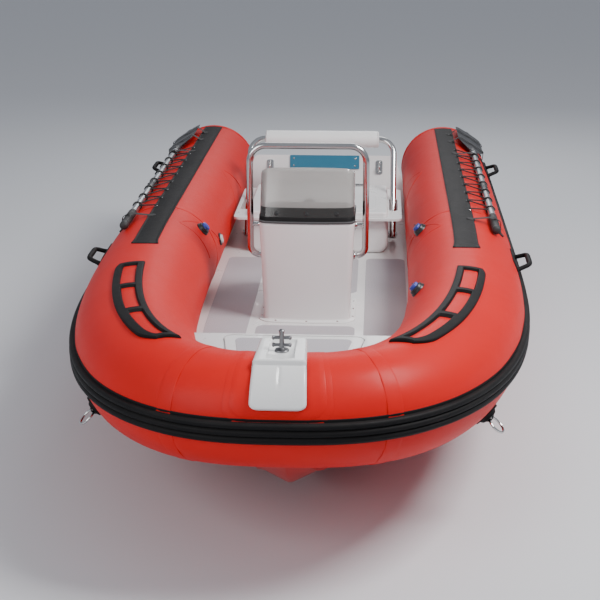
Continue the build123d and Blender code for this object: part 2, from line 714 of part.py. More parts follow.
rail_view = Plane(origin=(0, RAIL_Y, 0), x_dir=(1, 0, 0), z_dir=(0, -1, 0))
foot_half = console_half(RAIL_FOOT_Z) + RAIL_FIT
rail_path = FilletPolyline(
    (-foot_half, RAIL_FOOT_Z),
    (-RAIL_HALF, RAIL_FOOT_Z),
    (-RAIL_HALF, RAIL_TOP),
    (RAIL_HALF, RAIL_TOP),
    (RAIL_HALF, RAIL_FOOT_Z),
    (foot_half, RAIL_FOOT_Z),
    radius=[RAIL_FOOT_BEND, RAIL_BEND, RAIL_BEND, RAIL_FOOT_BEND],
)
rail_path = rail_view * rail_path
grab_rail = sweep(Plane(rail_path @ 0, z_dir=rail_path % 0) * Circle(RAIL_RADIUS), rail_path)
for side in (-1, 1):
    inner = console_half(RAIL_BRACKET_Z) + RAIL_FIT
    outer = RAIL_HALF - RAIL_RADIUS + RAIL_STAY_BITE
    stay = Pos(side * (inner + outer) / 2, RAIL_Y, RAIL_BRACKET_Z) * Rot(0, 90, 0)
    grab_rail += stay * Cylinder(RAIL_STAY_RADIUS, outer - inner)
    plate_x = side * (inner + FOOT_PLATE_THICK / 2)
    stay_plate = Rot(0, 90, 0) * Cylinder(STAY_PLATE_RADIUS, FOOT_PLATE_THICK)
    grab_rail += Pos(plate_x, RAIL_Y, RAIL_BRACKET_Z) * stay_plate
    foot_x = side * (foot_half + FOOT_PLATE_THICK / 2)
    foot_plate = Rot(0, 90, 0) * Cylinder(FOOT_PLATE_RADIUS, FOOT_PLATE_THICK)
    grab_rail += Pos(foot_x, RAIL_Y, RAIL_FOOT_Z) * foot_plate

# ---- steering wheel on a short column behind the console ----
console_back = CONSOLE_FRONT_Y + CONSOLE_DEPTH
tilt = math.radians(WHEEL_TILT)
column_axis = Vector(0, math.cos(tilt), math.sin(tilt))
column_start = Vector(0, console_back - COLUMN_SINK, WHEEL_CENTRE_Z - COLUMN_SINK)
column_plane = Plane(origin=column_start, x_dir=(1, 0, 0), z_dir=column_axis)
steering_column = extrude(column_plane * Circle(COLUMN_RADIUS), COLUMN_LENGTH)
column_front = console_back + COLUMN_FIT
aft_of_console = block(BEYOND, column_front, column_front + BEYOND, 0, BEYOND)
steering_column = steering_column & aft_of_console
bezel_z = column_start.Z + COLUMN_SINK * math.tan(tilt)
bezel_spot = Pos(0, column_front + BEZEL_THICK / 2, bezel_z)
steering_column += bezel_spot * Rot(90, 0, 0) * Cylinder(BEZEL_RADIUS, BEZEL_THICK)
hub_plane = column_plane.offset(COLUMN_LENGTH + HUB_FIT)
steering_wheel = extrude(hub_plane * Circle(HUB_RADIUS), HUB_DEPTH)
rim_plane = column_plane.offset(COLUMN_LENGTH + RIM_SETBACK)
rim_profile = Plane(
    origin=rim_plane.origin + rim_plane.x_dir * WHEEL_RADIUS,
    x_dir=rim_plane.x_dir,
    z_dir=rim_plane.y_dir,
)
rim_axis = Axis(rim_plane.origin, rim_plane.z_dir)
rim = revolve(rim_profile * Circle(WHEEL_RIM_RADIUS), rim_axis)
spoke_in, spoke_bend, spoke_out = HUB_RADIUS / 2, HUB_RADIUS + SPOKE_WIDTH, WHEEL_RADIUS - 4
spoke_side = Polygon(
    (spoke_in, -RIM_SETBACK + SPOKE_THICK),
    (spoke_in, -RIM_SETBACK + 2 * SPOKE_THICK),
    (spoke_bend, -SPOKE_THICK),
    (spoke_out, SPOKE_THICK / 2),
    (spoke_out, -SPOKE_THICK / 2),
    (spoke_bend, -2 * SPOKE_THICK),
    align=None,
)
for turn in SPOKE_TURNS:
    turned = rim_plane * Rot(0, 0, turn) * Rot(90, 0, 0)
    steering_wheel += turned * extrude(spoke_side, SPOKE_WIDTH / 2, both=True)
steering_wheel += rim

# ---- seat box: hollow moulding with a flange that the backrest passes ----
lean_angle = math.radians(BACKREST_LEAN)
slot_reach = (SEAT_FLANGE_TOP - BACKREST_PIVOT_Z) * math.tan(lean_angle)
slot_half_length = slot_reach + BACKREST_TUBE / math.cos(lean_angle) + SLOT_CLEARANCE
slot_half_width = BACKREST_TUBE + SLOT_CLEARANCE
flange_base = SEAT_FLANGE_TOP - SEAT_FLANGE_THICK
seat_outer = block(SEAT_HALF, SEAT_FRONT_Y, SEAT_BACK_Y, DECK_TOP, flange_base)
seat_low_edges = seat_outer.edges().filter_by(Axis.Y).group_by(Axis.Z)[0]
seat_outer = fillet(seat_low_edges, SEAT_LOW_CORNER)
seat_up_edges = seat_outer.edges().filter_by(Axis.Z)
seat_outer = fillet(seat_up_edges, SEAT_UP_CORNER)
flange_size = (2 * SEAT_FLANGE_HALF, SEAT_FLANGE_BACK_Y - SEAT_FLANGE_FRONT_Y)
flange_centre = (SEAT_FLANGE_FRONT_Y + SEAT_FLANGE_BACK_Y) / 2
flange_plan = Pos(0, flange_centre) * RectangleRounded(*flange_size, SEAT_FLANGE_CORNER)
flange = Pos(0, 0, flange_base) * extrude(flange_plan, SEAT_FLANGE_THICK)
seat_box = seat_outer + flange
seat_room = block(
    SEAT_HALF - SEAT_WALL - SEAT_RIM, SEAT_FRONT_Y + SEAT_WALL, SEAT_BACK_Y - SEAT_WALL - SEAT_RIM,
    DECK_TOP + SEAT_WALL, SEAT_FLANGE_TOP + 1,
)
room_edges = seat_room.edges().filter_by(Axis.Y).group_by(Axis.Z)[0]
seat_box -= fillet(room_edges, SEAT_ROOM_CORNER)
slot_corner = slot_half_width - 0.5
for side in (-1, 1):
    slot = Pos(side * BACKREST_HALF, BACKREST_PIVOT_Y, SEAT_FLANGE_TOP) * Rot(0, 0, 90)
    slot_plan = RectangleRounded(2 * slot_half_length, 2 * slot_half_width, slot_corner)
    seat_box -= slot * extrude(slot_plan, 2 * SEAT_FLANGE_THICK, both=True)

lid_length = SEAT_BACK_Y - SEAT_LID_FRONT_Y
lid_spot = Pos(0, (SEAT_BACK_Y + SEAT_LID_FRONT_Y) / 2, SEAT_FLANGE_TOP + SEAT_LID_REST)
lid_face = RectangleRounded(2 * SEAT_LID_HALF, lid_length, SEAT_LID_CORNER)
seat_lid = lid_spot * extrude(lid_face, SEAT_LID_THICK)
seat_lid = fillet(seat_lid.faces().sort_by(Axis.Z)[-1].edges(), SEAT_LID_EDGE)

# ---- backrest: bent tube that swings over between two pivots ----
lean = Plane(
    origin=(0, BACKREST_PIVOT_Y, BACKREST_PIVOT_Z),
    x_dir=(1, 0, 0),
    z_dir=(0, -math.cos(lean_angle), math.sin(lean_angle)),
)
frame_path = FilletPolyline(
    (-BACKREST_HALF, -LEG_TAIL),
    (-BACKREST_HALF, BACKREST_LENGTH),
    (BACKREST_HALF, BACKREST_LENGTH),
    (BACKREST_HALF, -LEG_TAIL),
    radius=BACKREST_BEND,
)
frame_path = lean * frame_path
frame_start = Plane(frame_path @ 0, z_dir=frame_path % 0)
backrest_frame = sweep(frame_start * Circle(BACKREST_TUBE), frame_path)
pin_hole = Pos(0, BACKREST_PIVOT_Y, BACKREST_PIVOT_Z) * Rot(0, 90, 0) * Cylinder(
    PIVOT_PIN_RADIUS + PIVOT_CLEARANCE, 4 * BACKREST_HALF
)
backrest_frame -= pin_hole
backrest_pivots = []
for side in (-1, 1):
    boss_low = SEAT_HALF + PIVOT_BOSS_FIT
    boss_high = BACKREST_HALF - BACKREST_TUBE - PIVOT_SIDE_FIT
    boss = Pos(side * (boss_low + boss_high) / 2, BACKREST_PIVOT_Y, BACKREST_PIVOT_Z)
    pivot = boss * Rot(0, 90, 0) * Cylinder(PIVOT_BOSS_RADIUS, boss_high - boss_low)
    pin_end = BACKREST_HALF + BACKREST_TUBE + PIVOT_HEAD_GAP + PIVOT_HEAD_THICK
    pin = Pos(side * (boss_low + pin_end) / 2, BACKREST_PIVOT_Y, BACKREST_PIVOT_Z)
    pivot += pin * Rot(0, 90, 0) * Cylinder(PIVOT_PIN_RADIUS, pin_end - boss_low)
    head = Pos(side * (pin_end - PIVOT_HEAD_THICK / 2), BACKREST_PIVOT_Y, BACKREST_PIVOT_Z)
    pivot += head * Rot(0, 90, 0) * Cylinder(PIVOT_HEAD_RADIUS, PIVOT_HEAD_THICK)
    backrest_pivots.append(pivot)
backrest_pivots = Compound(children=backrest_pivots)
roll_plane = Plane(origin=lean.origin + lean.y_dir * BACKREST_LENGTH, z_dir=(1, 0, 0))
backrest_roll = extrude(roll_plane * Circle(ROLL_RADIUS), ROLL_LENGTH / 2, both=True)
backrest_roll = fillet(backrest_roll.edges(), ROLL_EDGE)
backrest_roll -= extrude(roll_plane * Circle(BACKREST_TUBE + ROLL_FIT), ROLL_LENGTH, both=True)

# ---- tow eyes on the inner face of the transom ----
transom_eyes = []
for side in (-1, 1):
    eye_spot = transom_plane * Pos(side * EYE_HALF_SPREAD, down_board(EYE_Z))
    eye = extrude(eye_spot * RectangleRounded(*EYE_PLATE, EYE_PLATE_CORNER), -EYE_PLATE_THICK)
    eye += eye_spot * Pos(0, 0, -EYE_STANDOFF) * Rot(0, 90, 0) * Torus(EYE_RING_RADIUS, EYE_WIRE)
    transom_eyes.append(eye - behind_board)
transom_eyes = Compound(children=transom_eyes)

# ---- wear strips along the top of the side tubes ----
port_wear_strip = skin_patch(
    length_at_y(STRIP_FRONT_Y), length_at_y(STRIP_BACK_Y), *STRIP_ANGLES, STRIP_THICK,
    pitch=STRIP_PITCH,
)
starboard_wear_strip = mirrored(port_wear_strip)

# ---- arc handles over the shoulders, with three hand windows each ----
arc_start, arc_end = length_at_y(ARC_FRONT_Y), length_at_y(ARC_BACK_Y)
port_arc_handle = skin_patch(arc_start, arc_end, *ARC_ANGLES, ARC_THICK, pitch=ARC_PITCH)
window_length = (arc_end - arc_start - 4 * ARC_BRIDGE) / 3
for i in range(3):
    window_start = arc_start + ARC_BRIDGE + i * (window_length + ARC_BRIDGE)
    port_arc_handle -= skin_patch(
        window_start, window_start + window_length,
        ARC_ANGLES[0] + ARC_RAIL, ARC_ANGLES[1] - ARC_RAIL,
        2 * ARC_THICK, -ARC_THICK, ARC_PITCH,
    )
starboard_arc_handle = mirrored(port_arc_handle)

# ---- paddles lashed outboard of the wear strips ----
def along_tube(radius, y_low, y_high, angle, reach):
    """Round bar parallel to the straight side tube."""
    turn = math.radians(angle)
    away = TUBE_RADIUS + reach
    x = TUBE_SPREAD + away * math.cos(turn)
    z = TUBE_HEIGHT + away * math.sin(turn)
    plane = Plane(origin=(x, y_low, z), z_dir=(0, 1, 0))
    return extrude(plane * Circle(radius), y_high - y_low)


paddle_reach = PADDLE_STANDOFF + PADDLE_RADIUS
port_paddle_shaft = along_tube(PADDLE_RADIUS, *SHAFT_Y, PADDLE_ANGLE, paddle_reach)
grip_radius = PADDLE_RADIUS + GRIP_EXTRA
port_paddle_grip = along_tube(grip_radius, *GRIP_Y, PADDLE_ANGLE, paddle_reach)
port_paddle_grip = fillet(port_paddle_grip.edges(), GRIP_EDGE)
blade_turn = math.radians(PADDLE_ANGLE)
blade_away = TUBE_RADIUS + paddle_reach
blade_origin = (
    TUBE_SPREAD + blade_away * math.cos(blade_turn),
    (BLADE_Y[0] + BLADE_Y[1]) / 2,
    TUBE_HEIGHT + blade_away * math.sin(blade_turn),
)
blade_plane = Plane(
    origin=blade_origin,
    x_dir=(0, 1, 0),
    z_dir=(math.cos(blade_turn), 0, math.sin(blade_turn)),
)
blade_face = blade_plane * RectangleRounded(BLADE_LENGTH, BLADE_WIDTH, BLADE_CORNER)
port_paddle_blade = extrude(blade_face, BLADE_THICK / 2, both=True)
starboard_paddle_shaft = mirrored(port_paddle_shaft)
starboard_paddle_grip = mirrored(port_paddle_grip)
starboard_paddle_blade = mirrored(port_paddle_blade)

# ---- moulded lifting handles on the outboard faces ----
port_handles = []
for y in HANDLE_Y:
    s = length_at_y(y)
    spot = skin_plane(s, HANDLE_ANGLE, GLUE_GAP)
    half = HANDLE_LENGTH / 2
    base = skin_patch(
        s - half, s + half, HANDLE_ANGLE - HANDLE_FOOT_ANGLE, HANDLE_ANGLE + HANDLE_FOOT_ANGLE,
        HANDLE_FOOT_THICK,
    )
    leg_foot = half - HANDLE_END
    leg_head = leg_foot - HANDLE_SLOPE
    loop_path = FilletPolyline(
        (-leg_foot, 0), (-leg_head, HANDLE_STANDOFF), (leg_head, HANDLE_STANDOFF),
        (leg_foot, 0), radius=HANDLE_BEND,
    )
    loop_view = Plane(origin=spot.origin, x_dir=spot.x_dir, z_dir=-spot.y_dir)
    loop_path = loop_view * loop_path
    start = Plane(loop_path @ 0, z_dir=loop_path % 0)
    bar = sweep(start * Circle(HANDLE_BAR), loop_path)
    tube_here = chamber(s - HANDLE_LENGTH, s + HANDLE_LENGTH, GLUE_GAP)
    port_handles.append(base + (bar - tube_here))
port_side_handles = Compound(children=port_handles)
starboard_side_handles = mirrored(port_side_handles)

# ---- inflation valves on the inboard faces ----
valves = []
valve_caps = []
for side, y in VALVE_SPOTS:
    spot = skin_plane(length_at_y(y), VALVE_ANGLE)
    valve = extrude(spot.offset(VALVE_LIFT) * Circle(VALVE_RADIUS), VALVE_DEPTH)
    cap_spot = spot.offset(VALVE_LIFT + VALVE_DEPTH + CAP_FIT)
    cap = extrude(cap_spot * Circle(CAP_RADIUS), CAP_DEPTH)
    if side < 0:
        valve, cap = mirrored(valve), mirrored(cap)
    valves.append(valve)
    valve_caps.append(cap)
valves = Compound(children=valves)
valve_caps = Compound(children=valve_caps)

# ---- tow rings under the shoulders ----
ring_spot = skin_plane(length_at_y(RING_Y), RING_ANGLE)
ring_base = extrude(ring_spot.offset(RING_PATCH_LIFT) * Circle(RING_PATCH_RADIUS), RING_PATCH_THICK)
ring_reach = RING_PATCH_LIFT + RING_PATCH_THICK + RING_RADIUS
ring_loop = ring_spot * Pos(0, 0, ring_reach) * Rot(90, 0, 0) * Torus(RING_RADIUS, RING_WIRE)
port_tow_ring = ring_base + ring_loop
starboard_tow_ring = mirrored(port_tow_ring)

NODES = {
    "hull": hull,
    "deck": deck,
    "transom": transom,
    "motor_pad_inner": motor_pad_inner,
    "motor_pad_outer": motor_pad_outer,
    "bow_tube": bow_tube,
    "port_shoulder_tube": port_shoulder_tube,
    "starboard_shoulder_tube": starboard_shoulder_tube,
    "port_side_tube": port_side_tube,
    "starboard_side_tube": starboard_side_tube,
    "port_tube_cone": port_tube_cone,
    "starboard_tube_cone": starboard_tube_cone,
    "bow_strake": bow_strake,
    "port_strake": port_strake,
    "starboard_strake": starboard_strake,
    "bow_doubler": bow_doubler,
    "bow_step": bow_step,
    "bow_cleat": bow_cleat,
    "bow_locker": bow_locker,
    "bow_locker_lid": bow_locker_lid,
    "console": console,
    "console_dash": console_dash,
    "windscreen": windscreen,
    "grab_rail": grab_rail,
    "steering_column": steering_column,
    "steering_wheel": steering_wheel,
    "seat_box": seat_box,
    "seat_lid": seat_lid,
    "backrest_pivots": backrest_pivots,
    "backrest_frame": backrest_frame,
    "backrest_roll": backrest_roll,
    "transom_eyes": transom_eyes,
    "port_wear_strip": port_wear_strip,
    "starboard_wear_strip": starboard_wear_strip,
    "port_arc_handle": port_arc_handle,
    "starboard_arc_handle": starboard_arc_handle,
    "port_paddle_shaft": port_paddle_shaft,
    "port_paddle_grip": port_paddle_grip,
    "port_paddle_blade": port_paddle_blade,
    "starboard_paddle_shaft": starboard_paddle_shaft,
    "starboard_paddle_grip": starboard_paddle_grip,
    "starboard_paddle_blade": starboard_paddle_blade,
    "port_side_handles": port_side_handles,
    "starboard_side_handles": starboard_side_handles,
    "valves": valves,
    "valve_caps": valve_caps,
    "port_tow_ring": port_tow_ring,
    "starboard_tow_ring": starboard_tow_ring,
}

os.makedirs("parts", exist_ok=True)
for name, shape in NODES.items():
    export_step(shape, f"parts/{name}.step")
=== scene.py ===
"""A small rigid inflatable boat, finished piece by piece in the order it is put together."""
import math

import bpy
import numpy as np
from mathutils import Matrix


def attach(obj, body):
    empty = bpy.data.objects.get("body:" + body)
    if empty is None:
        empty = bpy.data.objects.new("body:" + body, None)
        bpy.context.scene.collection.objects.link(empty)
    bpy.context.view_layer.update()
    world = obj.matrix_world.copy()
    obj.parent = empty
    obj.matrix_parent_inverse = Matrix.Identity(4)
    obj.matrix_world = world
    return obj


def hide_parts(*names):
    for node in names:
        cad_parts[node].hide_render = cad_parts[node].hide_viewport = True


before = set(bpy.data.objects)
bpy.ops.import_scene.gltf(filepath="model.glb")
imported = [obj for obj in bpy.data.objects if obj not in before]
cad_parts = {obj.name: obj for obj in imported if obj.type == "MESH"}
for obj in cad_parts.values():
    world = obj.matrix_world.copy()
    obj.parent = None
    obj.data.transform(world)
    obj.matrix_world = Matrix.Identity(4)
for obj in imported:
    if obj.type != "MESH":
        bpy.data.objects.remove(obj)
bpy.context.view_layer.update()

# ---------------------------------------------------------------- studio
# A pale floor lies as deep as the keel, so that the whole hull shows. Soft boxes light the
# boat from above and both sides, and the camera looks down on the bow.
EYE = (0.266, -5.323, 1.849)
LOOK = (-0.05565, 0.94783, -0.31388)
EYE_ROLL = 0.003
LENS = 81.0

camera = bpy.data.objects.new("studio_camera", bpy.data.cameras.new("studio_camera"))
bpy.context.scene.collection.objects.link(camera)
bpy.context.scene.camera = camera
camera.data.lens = LENS
camera.data.sensor_width = 36.0
camera.data.clip_end = 60.0
forward = np.array(LOOK) / np.linalg.norm(LOOK)
level = np.array([forward[1], -forward[0], 0.0])
level /= np.linalg.norm(level)
upright = np.cross(level, forward)
eye_pose = np.eye(4)
eye_pose[:3, 0] = math.cos(EYE_ROLL) * level - math.sin(EYE_ROLL) * upright
eye_pose[:3, 1] = math.sin(EYE_ROLL) * level + math.cos(EYE_ROLL) * upright
eye_pose[:3, 2] = -forward
eye_pose[:3, 3] = EYE
camera.matrix_world = Matrix(eye_pose.tolist())


def finish_named(name, colour, roughness, metallic=0.0):
    """Principled material in one base colour; the section that needs it adds its pattern."""
    material = bpy.data.materials.new(name)
    material.use_nodes = True
    shader = material.node_tree.nodes["Principled BSDF"]
    shader.inputs["Base Color"].default_value = (*colour, 1.0)
    shader.inputs["Roughness"].default_value = roughness
    shader.inputs["Metallic"].default_value = metallic
    return material


FLOOR_HALF, FLOOR_Z = 45.0, -0.2
floor_corners = [(x * FLOOR_HALF, y * FLOOR_HALF, FLOOR_Z) for x, y in ((-1, -1), (1, -1), (1, 1), (-1, 1))]
floor_mesh = bpy.data.meshes.new("studio_floor")
floor_mesh.from_pydata(floor_corners, [], [(0, 1, 2, 3)])
floor_mesh.materials.append(finish_named("studio_floor_finish", (0.66, 0.67, 0.69), 0.8))
floor = bpy.data.objects.new("studio_floor", floor_mesh)
bpy.context.scene.collection.objects.link(floor)


def soft_box(name, place, target, size, power):
    """Square area light at a place, aimed at a target."""
    light = bpy.data.objects.new(name, bpy.data.lights.new(name, "AREA"))
    bpy.context.scene.collection.objects.link(light)
    light.data.size = size
    light.data.energy = power
    light.location = place
    aim = np.array(target) - np.array(place)
    light.rotation_euler = (
        math.atan2(math.hypot(aim[0], aim[1]), -aim[2]), 0, math.atan2(-aim[0], aim[1])
    )


soft_box("key_light", (2.6, -1.4, 3.8), (0, 0, 0.2), 1.6, 250)
soft_box("fill_light", (-3.0, -4.4, 2.6), (0, 0, 0.2), 3.0, 110)
soft_box("back_light", (0.4, 4.4, 3.0), (0, 0, 0.3), 2.2, 50)
world = bpy.data.worlds.new("studio_world")
bpy.context.scene.world = world
world.use_nodes = True
world.node_tree.nodes["Background"].inputs["Color"].default_value = (0.86, 0.9, 1.0, 1.0)
world.node_tree.nodes["Background"].inputs["Strength"].default_value = 0.42

# ---------------------------------------------------------------- air tubes
# Five inflated chambers of red coated polyester, rolled up from flat panels and
# glued at overlapped seams. A round tapered cap closes each tube at the stern.
SPREAD = 0.611                  # centreline to tube axis along the sides
BOW_Y = -1.720
BOW_DEPTH = 1.800
FULLNESS = 2.8
AXIS_Z = 0.250
BOW_RISE, RISE_DEPTH = 0.070, 1.600
RADIUS = 0.215
TAPER, TAPER_DEPTH = 0.227, 1.200
STERN_Y = 1.807
SEAM_X = 0.244
TUBE_RED = (0.66, 0.006, 0.004)
TUBE_RED_DEEP = (0.38, 0.006, 0.005)

bow_angles = np.radians(np.linspace(0.0, 90.0, 4001))
bow_x = SPREAD * np.sin(bow_angles) ** (2 / FULLNESS)
bow_y = BOW_Y + BOW_DEPTH * (1 - np.clip(np.cos(bow_angles), 0, 1) ** (2 / FULLNESS))
bow_run = np.concatenate([[0.0], np.cumsum(np.hypot(np.diff(bow_x), np.diff(bow_y)))])
SHOULDER = bow_run[-1]
SHOULDER_Y = BOW_Y + BOW_DEPTH
STERN = SHOULDER + STERN_Y - SHOULDER_Y


def tube_axis(s):
    """Axis point at length s from the stem, port positive: a superellipse, then straight aft.
    Its height climbs with the square of the distance ahead of where the rise starts."""
    run = np.abs(s)
    x = np.interp(run, bow_run, bow_x) * np.where(s < 0, -1, 1)
    y = np.interp(run, bow_run, bow_y) + np.maximum(run - SHOULDER, 0)
    ahead = np.clip((BOW_Y + RISE_DEPTH - y) / RISE_DEPTH, 0, 1)
    return np.stack([x, y, AXIS_Z + BOW_RISE * ahead**2], -1)


def tube_radius(s):
    """Skin radius at length s: full along the sides, less by the square of the way ahead."""
    ahead = np.clip((BOW_Y + TAPER_DEPTH - tube_axis(s)[..., 1]) / TAPER_DEPTH, 0, 1)
    return RADIUS * (1 - TAPER * ahead**2)


def skin(s, angle, reach=0.0):
    """Point on the collar at length s and angle (degrees, from outboard towards up), lifted by
    reach: axis + (radius + reach) * (cos(angle) * outboard + sin(angle) * up)."""
    s, angle, reach = np.broadcast_arrays(*map(np.asarray, (s * 1.0, angle * 1.0, reach * 1.0)))
    step = 0.004
    along = tube_axis(s + step) - tube_axis(s - step)
    along /= np.linalg.norm(along, axis=-1, keepdims=True)
    outboard = np.stack([along[..., 1], -along[..., 0], np.zeros_like(s)], -1)
    outboard /= np.linalg.norm(outboard, axis=-1, keepdims=True)
    up = np.cross(outboard, along)
    turn = np.radians(angle)[..., None]
    away = (tube_radius(s) + reach)[..., None]
    return tube_axis(s) + away * (np.cos(turn) * outboard + np.sin(turn) * up)


def run_at_y(y):
    """Length from the stem at which the port tube axis reaches y."""
    return np.interp(y, bow_y, bow_run) + np.maximum(y - SHOULDER_Y, 0)


def new_piece(name, mesh, body, finish, replaces=(), crease=35.0):
    """Object for a finished mesh: smooth faces, sharp edges over the crease angle, its finish,
    the body it rides on and the frame nodes it stands for."""
    mesh.polygons.foreach_set("use_smooth", np.ones(len(mesh.polygons), bool))
    mesh.set_sharp_from_angle(angle=math.radians(crease))
    mesh.materials.append(finish)
    piece = bpy.data.objects.new(name, mesh)
    bpy.context.scene.collection.objects.link(piece)
    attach(piece, body)
    if replaces:
        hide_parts(*replaces)
    return piece


def loft_mesh(name, rings, closed=False, capped=True):
    """Mesh from rings of points, an array (rings, points, 3). Quads join neighbouring rings,
    each ring closes on itself, and flat caps or a last-to-first join close the ends. Faces
    point outwards: the sign of the enclosed volume says whether to turn them round. The UV map
    holds the distances along and around, in metres."""
    rings = np.asarray(rings, float)
    count, size = rings.shape[:2]
    spans = count if closed else count - 1
    i, j = np.meshgrid(np.arange(spans), np.arange(size), indexing="ij")
    near, far = i * size, (i + 1) % count * size
    right = (j + 1) % size
    quads = np.stack([near + j, far + j, far + right, near + right], -1).reshape(-1, 4)
    points = rings.reshape(-1, 3)
    corners = points[quads]
    crossed = np.cross(corners[:, 2] - corners[:, 0], corners[:, 3] - corners[:, 1])
    centre = points.mean(0)
    if not closed and capped:
        caps = [np.arange(size)[::-1], np.arange(size) + (count - 1) * size]
    else:
        caps = []
    volume = ((corners.mean(1) - centre) * crossed).sum() / 6
    for cap in caps:
        ends = points[cap]
        turned = np.cross(ends - ends.mean(0), np.roll(ends, -1, 0) - ends.mean(0)).sum(0)
        volume += (ends.mean(0) - centre) @ turned / 6
    across = np.linalg.norm(np.diff(rings.mean(1), axis=0), axis=1)
    u = np.concatenate([[0.0], np.cumsum(across)])
    u = np.append(u, u[-1] + (across.mean() if len(across) else 0.0))
    girth = np.linalg.norm(np.roll(rings[count // 2], -1, 0) - rings[count // 2], axis=1)
    v = np.concatenate([[0.0], np.cumsum(girth)])
    uv = np.stack([
        np.stack([u[i], v[j]], -1), np.stack([u[i + 1], v[j]], -1),
        np.stack([u[i + 1], v[j + 1]], -1), np.stack([u[i], v[j + 1]], -1),
    ], -2).reshape(-1, 4, 2)
    if volume < 0:
        quads, uv, caps = quads[:, ::-1], uv[:, ::-1], [cap[::-1] for cap in caps]
    mesh = bpy.data.meshes.new(name)
    mesh.from_pydata(points.tolist(), [], quads.tolist() + [cap.tolist() for cap in caps])
    layer = mesh.uv_layers.new(name="cloth")
    spare = np.zeros((len(caps) * size, 2))
    layer.data.foreach_set("uv", np.concatenate([uv.reshape(-1, 2), spare]).ravel())
    return mesh


def shader_group(name, inputs, outputs):
    """Empty shader node group with named inputs (name, socket kind, default) and outputs."""
    group = bpy.data.node_groups.new(name, "ShaderNodeTree")
    for title, kind, value in inputs:
        socket = group.interface.new_socket(title, in_out="INPUT", socket_type=kind)
        if value is not None:
            socket.default_value = value
    for title, kind in outputs:
        group.interface.new_socket(title, in_out="OUTPUT", socket_type=kind)
    start = group.nodes.new("NodeGroupInput")
    end = group.nodes.new("NodeGroupOutput")
    return group, start, end


def noise(tree, vector, scale, detail=3.0, roughness=0.55):
    """Noise texture on a vector, giving its factor socket."""
    node = tree.nodes.new("ShaderNodeTexNoise")
    node.inputs["Detail"].default_value = detail
    node.inputs["Roughness"].default_value = roughness
    if isinstance(scale, (int, float)):
        node.inputs["Scale"].default_value = scale
    else:
        tree.links.new(scale, node.inputs["Scale"])
    tree.links.new(vector, node.inputs["Vector"])
    return node.outputs["Fac"]


def maths(tree, operation, a, b=0.5, c=0.5, clamp=False):
    """One Math node on sockets or numbers, giving its value."""
    node = tree.nodes.new("ShaderNodeMath")
    node.operation = operation
    node.use_clamp = clamp
    for socket, value in zip(node.inputs, (a, b, c)):
        if isinstance(value, (int, float)):
            socket.default_value = value
        else:
            tree.links.new(value, socket)
    return node.outputs[0]


def blend_colours(tree, factor, first, second):
    """Mix of two colours, each a socket or three numbers."""
    node = tree.nodes.new("ShaderNodeMix")
    node.data_type = "RGBA"
    if isinstance(factor, (int, float)):
        node.inputs["Factor"].default_value = factor
    else:
        tree.links.new(factor, node.inputs["Factor"])
    for socket, value in ((node.inputs[6], first), (node.inputs[7], second)):
        if isinstance(value, tuple):
            socket.default_value = (*value, 1.0)
        else:
            tree.links.new(value, socket)
    return node.outputs[2]


# Tone over a surface: broad cloudy variation between two colours, a film of dust that lies on
# what faces up, and a mask that says how much of it there is.
tone_group, tone_in, tone_out = shader_group(
    "surface_tone",
    [("Base", "NodeSocketColor", None), ("Deep", "NodeSocketColor", None),
     ("Dust", "NodeSocketColor", (0.55, 0.5, 0.45, 1.0)), ("Cloud Scale", "NodeSocketFloat", 3.0),
     ("Cloud", "NodeSocketFloat", 0.3), ("Dust Amount", "NodeSocketFloat", 0.1)],
    [("Color", "NodeSocketColor"), ("Mask", "NodeSocketFloat")],
)
tone_place = tone_group.nodes.new("ShaderNodeTexCoord")
tone_cloud = noise(tone_group, tone_place.outputs["Object"], tone_in.outputs["Cloud Scale"], 4.0)
cloud_share = maths(tone_group, "MULTIPLY", tone_cloud, tone_in.outputs["Cloud"], clamp=True)
clouded = blend_colours(
    tone_group, cloud_share, tone_in.outputs["Base"], tone_in.outputs["Deep"]
)
tone_shape = tone_group.nodes.new("ShaderNodeNewGeometry")
tone_split = tone_group.nodes.new("ShaderNodeSeparateXYZ")
tone_group.links.new(tone_shape.outputs["Normal"], tone_split.inputs[0])
facing_up = maths(tone_group, "MAXIMUM", tone_split.outputs["Z"], 0.0)
dust_specks = noise(tone_group, tone_place.outputs["Object"], 38.0, 6.0, 0.7)
dust_patches = noise(tone_group, tone_place.outputs["Object"], 5.0, 3.0)
dust_share = maths(tone_group, "MULTIPLY", dust_specks, dust_patches)
dust_share = maths(tone_group, "MULTIPLY", dust_share, facing_up)
dust_share = maths(tone_group, "MULTIPLY", dust_share, tone_in.outputs["Dust Amount"], clamp=True)
dusted = blend_colours(tone_group, dust_share, clouded, tone_in.outputs["Dust"])
tone_group.links.new(dusted, tone_out.inputs["Color"])
tone_group.links.new(dust_share, tone_out.inputs["Mask"])

# Fine grain: two sizes of noise added up, as a height for a Bump node and a value for roughness.
grain_group, grain_in, grain_out = shader_group(
    "fine_grain",
    [("Scale", "NodeSocketFloat", 400.0), ("Coarse Scale", "NodeSocketFloat", 30.0),
     ("Coarse", "NodeSocketFloat", 0.3)],
    [("Height", "NodeSocketFloat"), ("Value", "NodeSocketFloat")],
)
grain_place = grain_group.nodes.new("ShaderNodeTexCoord")
grain_fine = noise(grain_group, grain_place.outputs["Object"], grain_in.outputs["Scale"], 2.0)
grain_coarse = noise(
    grain_group, grain_place.outputs["Object"], grain_in.outputs["Coarse Scale"], 3.0
)
grain_mixed = maths(grain_group, "MULTIPLY_ADD", grain_coarse, grain_in.outputs["Coarse"], grain_fine)
grain_group.links.new(grain_mixed, grain_out.inputs["Height"])
grain_group.links.new(grain_coarse, grain_out.inputs["Value"])


